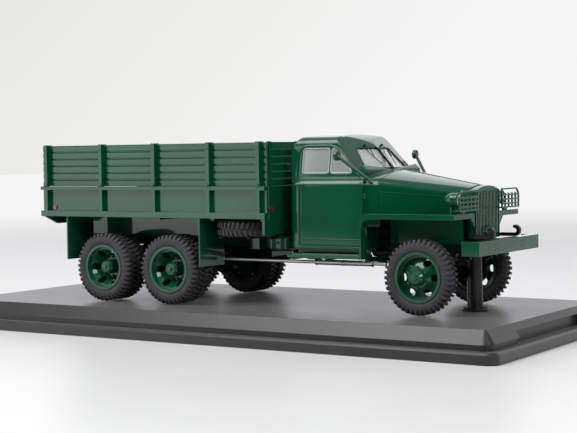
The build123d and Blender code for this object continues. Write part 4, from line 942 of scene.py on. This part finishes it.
for y in bedTrim["hingeY"]:
    hinge = (bedTrim["rearX"] - bedTrim["hingeProud"], y, bedTrim["hingeZ"])
    addPeg(bm, hinge, (0, 1, 0), bedTrim["hingeRadius"], bedTrim["hingeWidth"])
for side in (-1, 1):
    place = (
        bedTrim["rearX"] - bedTrim["catchProud"],
        side * bedTrim["catchY"],
        bedTrim["railTop"] - bedTrim["catchDrop"],
    )
    addBlock(bm, place, bedTrim["catch"], bedTrim["catchBevel"])
makePiece(bm, "stakePockets", "truck_green", root, smooth=True)
# flat black marks on the panel faces: painted shade where slots would be
panelSlots = {"y": -24.63, "z": deck + 29.6, "before": 0.35, "size": (0.3, 0.12, 1.5), "bevel": 0.03}
bm = bmesh.new()
for x in bedTrim["stakeX"][1:]:
    addBlock(
        bm,
        (x - panelSlots["before"], panelSlots["y"], panelSlots["z"]),
        panelSlots["size"],
        panelSlots["bevel"],
    )
mirrorAcross(bm)
makePiece(bm, "panelSlots", "hook_black", root, material=sealBlack)

# Mudguards: a rolled bead down the outer edge of each, and along its foot
mudTrim = {
    "guards": ((-59.2, deck + 13.0), (-7.2, deck + 12.0)),
    "outerY": 25.5,
    "innerY": 14.0,
    "top": deck + 26.0,
    "inset": 0.5,
    "corner": 1.0,
    "radius": 0.2,
}
bm = bmesh.new()
for x, low in mudTrim["guards"]:
    y, foot = -mudTrim["outerY"], low + mudTrim["inset"]
    corners = [(y, mudTrim["top"], 0), (y, foot, 0), (-mudTrim["innerY"], foot, 0)]
    path = [(x, point.x, point.y) for point in roundedPath(corners, mudTrim["corner"])]
    addTube(bm, path, mudTrim["radius"], (1, 0, 0))
mirrorAcross(bm)
makePiece(bm, "mudguardBeads", "truck_green", root, smooth=True)

# Steps: pressed ribs along their tops
stepTrim = {"x": (22.4, 45.0), "top": deck + 16.5, "y": (16.6, 18.0, 19.4, 20.8), "radius": 0.2}
bm = bmesh.new()
for y in stepTrim["y"]:
    addTube(bm, [(x, -y, stepTrim["top"]) for x in stepTrim["x"]], stepTrim["radius"])
mirrorAcross(bm)
makePiece(bm, "stepRibs", "truck_green", root, smooth=True)

# Exhaust: end bands of the muffler and the rolled tail
exhaustTrim = {
    "y": -15.5,
    "z": deck + 13.9,
    "bands": (27.9, 37.0, 46.7),
    "bandRing": 0.81,
    "bandRadius": 0.14,
    "tail": -4.9,
    "tailRing": 0.46,
    "tailRadius": 0.1,
}
bm = bmesh.new()
for x in exhaustTrim["bands"]:
    band = (x, exhaustTrim["y"], exhaustTrim["z"])
    addRing(bm, band, (1, 0, 0), exhaustTrim["bandRing"], exhaustTrim["bandRadius"], steps=32)
tail = (exhaustTrim["tail"], exhaustTrim["y"], exhaustTrim["z"])
addRing(bm, tail, (1, 0, 0), exhaustTrim["tailRing"], exhaustTrim["tailRadius"], steps=24)
makePiece(bm, "exhaustBands", "exhaust_silver", root, smooth=True)

# Tank: straps, filler cap and drain plug
tankTrim = {
    "straps": (0.22, 0.78),
    "width": 0.5,
    "proud": (0.07, 0.12),
    "corner": 0.9,
    "capIn": 1.6,
    "capUp": 0.2,
    "capRadius": 0.7,
    "capHeight": 0.6,
    "plugUp": 0.4,
    "plugRadius": 0.4,
    "plugDepth": 0.3,
}
tankLow, tankHigh = nodeBox("fuel_tank")
tankMiddle, tankSize = (tankLow + tankHigh) / 2, tankHigh - tankLow
proudY, proudZ = tankTrim["proud"]
strap = (tankTrim["width"], tankSize.y + 2 * proudY, tankSize.z + 2 * proudZ)
bm = bmesh.new()
for share in tankTrim["straps"]:
    addBlock(bm, (tankLow.x + tankSize.x * share, tankMiddle.y, tankMiddle.z), strap, tankTrim["corner"])
cap = (tankMiddle.x, tankLow.y + tankTrim["capIn"], tankHigh.z + tankTrim["capUp"])
addPeg(bm, cap, (0, 0, 1), tankTrim["capRadius"], tankTrim["capHeight"])
plug = (tankMiddle.x, tankLow.y, tankMiddle.z + tankTrim["plugUp"])
addPeg(bm, plug, (0, 1, 0), tankTrim["plugRadius"], tankTrim["plugDepth"])
makePiece(bm, "tankTrim", "chassis_green", root, smooth=True)

# Driveline: brake drum behind the gearbox and the transfer case's mounting
drivelineTrim = {
    "drum": (39.6, 0, deck + 17.15),
    "drumRadius": 2.45,
    "drumWidth": 1.3,
    "mountX": 13.9,
    "mountY": (-6.0, 3.0),
    "mountZ": (deck + 13.6, deck + 17.3),
    "mountWidth": 0.7,
    "bevel": 0.15,
}
bm = bmesh.new()
addPeg(
    bm,
    drivelineTrim["drum"],
    (1, 0, 0),
    drivelineTrim["drumRadius"],
    drivelineTrim["drumWidth"],
    sides=40,
    bevel=drivelineTrim["bevel"],
)
(lowY, highY), (lowZ, highZ) = drivelineTrim["mountY"], drivelineTrim["mountZ"]
mountSize = (drivelineTrim["mountWidth"], highY - lowY, highZ - lowZ)
addBlock(
    bm,
    (drivelineTrim["mountX"], (lowY + highY) / 2, (lowZ + highZ) / 2),
    mountSize,
    drivelineTrim["bevel"],
)
makePiece(bm, "drivelineTrim", "chassis_green", root, smooth=True)

# Front end: bolts of the tow hooks and of the bumper
hookBolts = {"x": (77.0, 79.0), "y": -8.8, "z": deck + 21.8, "radius": 0.34, "height": 0.5}
bm = bmesh.new()
for x in hookBolts["x"]:
    addPeg(
        bm,
        (x, hookBolts["y"], hookBolts["z"]),
        (0, 0, 1),
        hookBolts["radius"],
        hookBolts["height"],
        sides=6,
    )
mirrorAcross(bm)
makePiece(bm, "hookBolts", "hook_black", root, smooth=True)
bumperBolts = {
    "x": 82.45,
    "y": (8.2, 9.8),
    "z": (deck + 18.4, deck + 19.9),
    "radius": 0.24,
    "depth": 0.22,
    "bevel": 0.08,
}
bm = bmesh.new()
for y in bumperBolts["y"]:
    for z in bumperBolts["z"]:
        addPeg(
            bm,
            (bumperBolts["x"], -y, z),
            (1, 0, 0),
            bumperBolts["radius"],
            bumperBolts["depth"],
            sides=12,
            bevel=bumperBolts["bevel"],
        )
mirrorAcross(bm)
makePiece(bm, "bumperBolts", "truck_green", root, smooth=True)

# Cab inside: pleats of the cushion, from its rear to its front, and the gear lever with its knob
seatPleats = {"count": 11, "radius": 0.18, "inset": 1.2, "rear": (5.3, 9.4), "front": (12.0, 9.0)}
seatLow, seatHigh = nodeBox("seat")
pleatsLow = seatLow.y + seatPleats["inset"]
pleatsWidth = seatHigh.y - seatLow.y - 2 * seatPleats["inset"]
bm = bmesh.new()
for k in range(seatPleats["count"]):
    y = pleatsLow + pleatsWidth * k / (seatPleats["count"] - 1)
    path = [
        (seatLow.x + forwards, y, seatHigh.z - down)
        for forwards, down in (seatPleats["rear"], seatPleats["front"])
    ]
    addTube(bm, path, seatPleats["radius"])
makePiece(bm, "seatPleats", "seat_brown", root, smooth=True)
gearLever = {
    "path": ((40.5, 0.0, deck + 21.6), (38.8, 0.0, deck + 30.0), (36.2, 0.4, deck + 33.5)),
    "radius": 0.25,
    "knob": 0.55,
}
bm = bmesh.new()
addTube(bm, gearLever["path"], gearLever["radius"])
knobPlace = Matrix.Translation(Vector(gearLever["path"][-1]) * mm)
bmesh.ops.create_uvsphere(bm, u_segments=16, v_segments=10, radius=gearLever["knob"] * mm, matrix=knobPlace)
makePiece(bm, "gearLever", "hook_black", root, smooth=True)
print("bed, step and cab trim made")

# Camera at the photograph's viewing angle, solved from the wheels and the bed
cameraFit = {
    "place": (247.7, -375.55, 54.6),
    "yaw": 32.505,
    "pitch": -2.53,
    "roll": -0.793,
    "focal": 1438.4,
    "imageWidth": 577,
}
sensorWidth = 36.0
yaw, pitch, roll = (radians(cameraFit[key]) for key in ("yaw", "pitch", "roll"))
forward = Vector((-sin(yaw) * cos(pitch), cos(yaw) * cos(pitch), sin(pitch)))
across = Vector((cos(yaw), sin(yaw), 0))
upward = across.cross(forward)
acrossRolled = cos(roll) * across + sin(roll) * upward
upRolled = cos(roll) * upward - sin(roll) * across
cameraData = bpy.data.cameras.new("photoCamera")
cameraData.sensor_width = sensorWidth
cameraData.lens = cameraFit["focal"] / cameraFit["imageWidth"] * sensorWidth
cameraData.clip_start = 0.01
cameraData.clip_end = 20.0
camera = bpy.data.objects.new("photoCamera", cameraData)
bpy.context.scene.collection.objects.link(camera)
turnMatrix = Matrix((acrossRolled, upRolled, -forward)).transposed().to_4x4()
camera.matrix_world = Matrix.Translation(Vector(cameraFit["place"]) * mm) @ turnMatrix
bpy.context.scene.camera = camera

# Pale table: the camera sees it fade to the backdrop's white. For reflections it ends short
# of the camera, where the dark room begins.
floorLook = {
    "radius": 4000.0,
    "fadeStart": 330.0,
    "fadeEnd": 1000.0,
    "frontEdge": 230.0,  # where it ends for reflections, towards the camera
    "edgeBlur": 60.0,
    "cloud": 60.0,
    "white": "#f5f5f5",
    "low": "#e2e2e1",
    "high": "#e7e7e6",
}


def tableMaterial(look):
    material, tree = newMaterial("paleTable")
    place = addNode(tree, "ShaderNodeTexCoord")
    reach = addNode(tree, "ShaderNodeVectorMath", {"operation": "LENGTH"}, {0: place.outputs["Object"]})
    fade = addNode(
        tree,
        "ShaderNodeMapRange",
        {
            "interpolation_type": "SMOOTHSTEP",
            "From Min": look["fadeStart"] * mm,
            "From Max": look["fadeEnd"] * mm,
        },
        {"Value": reach.outputs["Value"]},
    )
    cloud = patternNoise(tree, look["cloud"], detail=2.0)
    table = addNode(
        tree,
        "ShaderNodeBsdfPrincipled",
        {"Roughness": 0.35, "IOR": 1.4, "Specular IOR Level": 0.3},
        {"Base Color": colourBetween(tree, cloud.outputs["Fac"], look["low"], look["high"])},
    )
    glow = addNode(tree, "ShaderNodeEmission", {"Color": linear(look["white"]), "Strength": 1.0})
    seen = addNode(
        tree,
        "ShaderNodeMixShader",
        links={"Fac": fade.outputs["Result"], 1: table.outputs[0], 2: glow.outputs[0]},
    )
    towards = addNode(
        tree,
        "ShaderNodeVectorMath",
        {"operation": "DOT_PRODUCT", 1: Vector((-forward.x, -forward.y, 0)).normalized()},
        {0: place.outputs["Object"]},
    )
    beyond = addNode(tree, "ShaderNodeMapRange", {"From Min": look["frontEdge"] * mm,
                                                  "From Max": (look["frontEdge"] + look["edgeBlur"]) * mm},
                     {"Value": towards.outputs["Value"]})
    away = addNode(
        tree,
        "ShaderNodeMath",
        {"operation": "MAXIMUM"},
        {0: beyond.outputs["Result"], 1: fade.outputs["Result"]},
    )
    gone = addNode(tree, "ShaderNodeBsdfTransparent")
    mirrored = addNode(
        tree,
        "ShaderNodeMixShader",
        links={"Fac": away.outputs["Value"], 1: table.outputs[0], 2: gone.outputs[0]},
    )
    rays = addNode(tree, "ShaderNodeLightPath")
    mix = addNode(
        tree,
        "ShaderNodeMixShader",
        links={"Fac": rays.outputs["Is Camera Ray"], 1: mirrored.outputs[0], 2: seen.outputs[0]},
    )
    finishMaterial(tree, mix)
    return material


bm = bmesh.new()
bmesh.ops.create_circle(bm, cap_ends=True, radius=floorLook["radius"] * mm, segments=96)
floorMesh = bpy.data.meshes.new("table")
bm.to_mesh(floorMesh)
bm.free()
floor = bpy.data.objects.new("table", floorMesh)
bpy.context.scene.collection.objects.link(floor)
floorMesh.materials.append(tableMaterial(floorLook))

# Studio: a white backdrop for the camera, greyed towards the view's upper left as painted shade,
# and for reflections a bright back and top with a dark room behind the camera
studio = {
    "backdrop": "#f5f5f5",
    # painted shade on the backdrop, towards the view's upper left corner
    "corner": "#e6e6e3",
    "cornerReach": 0.25,
    "light": "#fbfbff",
    "room": 0.012,
    "back": 1.15,
    "backWay": (-0.6, 0.8, 0.0),
    "backRange": (0.1, 0.9),
    "top": 0.5,
    "topRange": (0.3, 0.95),
}


def studioWorld(look):
    world = bpy.data.worlds.new("studio")
    world.use_nodes = True
    tree = world.node_tree
    tree.nodes.clear()
    way = addNode(tree, "ShaderNodeTexCoord")
    parts = addNode(tree, "ShaderNodeSeparateXYZ", links={0: way.outputs["Generated"]})
    behind = addNode(
        tree,
        "ShaderNodeVectorMath",
        {"operation": "DOT_PRODUCT", 1: look["backWay"]},
        {0: way.outputs["Generated"]},
    )
    back = addNode(
        tree,
        "ShaderNodeMapRange",
        {
            "interpolation_type": "SMOOTHSTEP",
            "From Min": look["backRange"][0],
            "From Max": look["backRange"][1],
            "To Min": 0.0,
            "To Max": look["back"],
        },
        {"Value": behind.outputs["Value"]},
    )
    top = addNode(
        tree,
        "ShaderNodeMapRange",
        {
            "interpolation_type": "SMOOTHSTEP",
            "From Min": look["topRange"][0],
            "From Max": look["topRange"][1],
            "To Min": look["room"],
            "To Max": look["top"],
        },
        {"Value": parts.outputs["Z"]},
    )
    level = addNode(
        tree,
        "ShaderNodeMath",
        {"operation": "MAXIMUM"},
        {0: back.outputs["Result"], 1: top.outputs["Result"]},
    )
    lit = addNode(
        tree,
        "ShaderNodeBackground",
        {"Color": linear(look["light"])},
        {"Strength": level.outputs["Value"]},
    )
    # painted shade: the backdrop greys towards the upper left corner of the view
    corner = addNode(
        tree,
        "ShaderNodeVectorMath",
        {"operation": "DOT_PRODUCT", 1: (upRolled - acrossRolled).normalized()},
        {0: way.outputs["Generated"]},
    )
    shade = addNode(
        tree,
        "ShaderNodeMapRange",
        {"From Min": 0.0, "From Max": look["cornerReach"]},
        {"Value": corner.outputs["Value"]},
    )
    backdrop = colourBetween(tree, shade.outputs["Result"], look["backdrop"], look["corner"], 0.0, 1.0)
    seen = addNode(tree, "ShaderNodeBackground", {"Strength": 1.0}, {"Color": backdrop})
    rays = addNode(tree, "ShaderNodeLightPath")
    mix = addNode(
        tree,
        "ShaderNodeMixShader",
        links={"Fac": rays.outputs["Is Camera Ray"], 1: lit.outputs[0], 2: seen.outputs[0]},
    )
    addNode(tree, "ShaderNodeOutputWorld", links={"Surface": mix.outputs[0]})
    return world


bpy.context.scene.world = studioWorld(studio)
bpy.context.scene.view_settings.view_transform = "Standard"

lights = [
    # name, place, target, width, height, watts
    ("overhead", (-170, -400, 640), (0, 0, 20), 620, 420, 4.5),
    ("leftPanel", (-843, -772, 60), (20, -22, 40), 656, 900, 3.6),
    ("frontFill", (760, -260, 420), (70, 0, 30), 300, 300, 2.2),
]
for name, place, target, width, height, watts in lights:
    data = bpy.data.lights.new(name, "AREA")
    data.shape = "RECTANGLE"
    data.size, data.size_y = width * mm, height * mm
    data.energy = watts
    lamp = bpy.data.objects.new(name, data)
    bpy.context.scene.collection.objects.link(lamp)
    lamp.location = Vector(place) * mm
    lamp.rotation_mode = "QUATERNION"
    lamp.rotation_quaternion = (Vector(target) - Vector(place)).to_track_quat("-Z", "Y")
print("studio made")
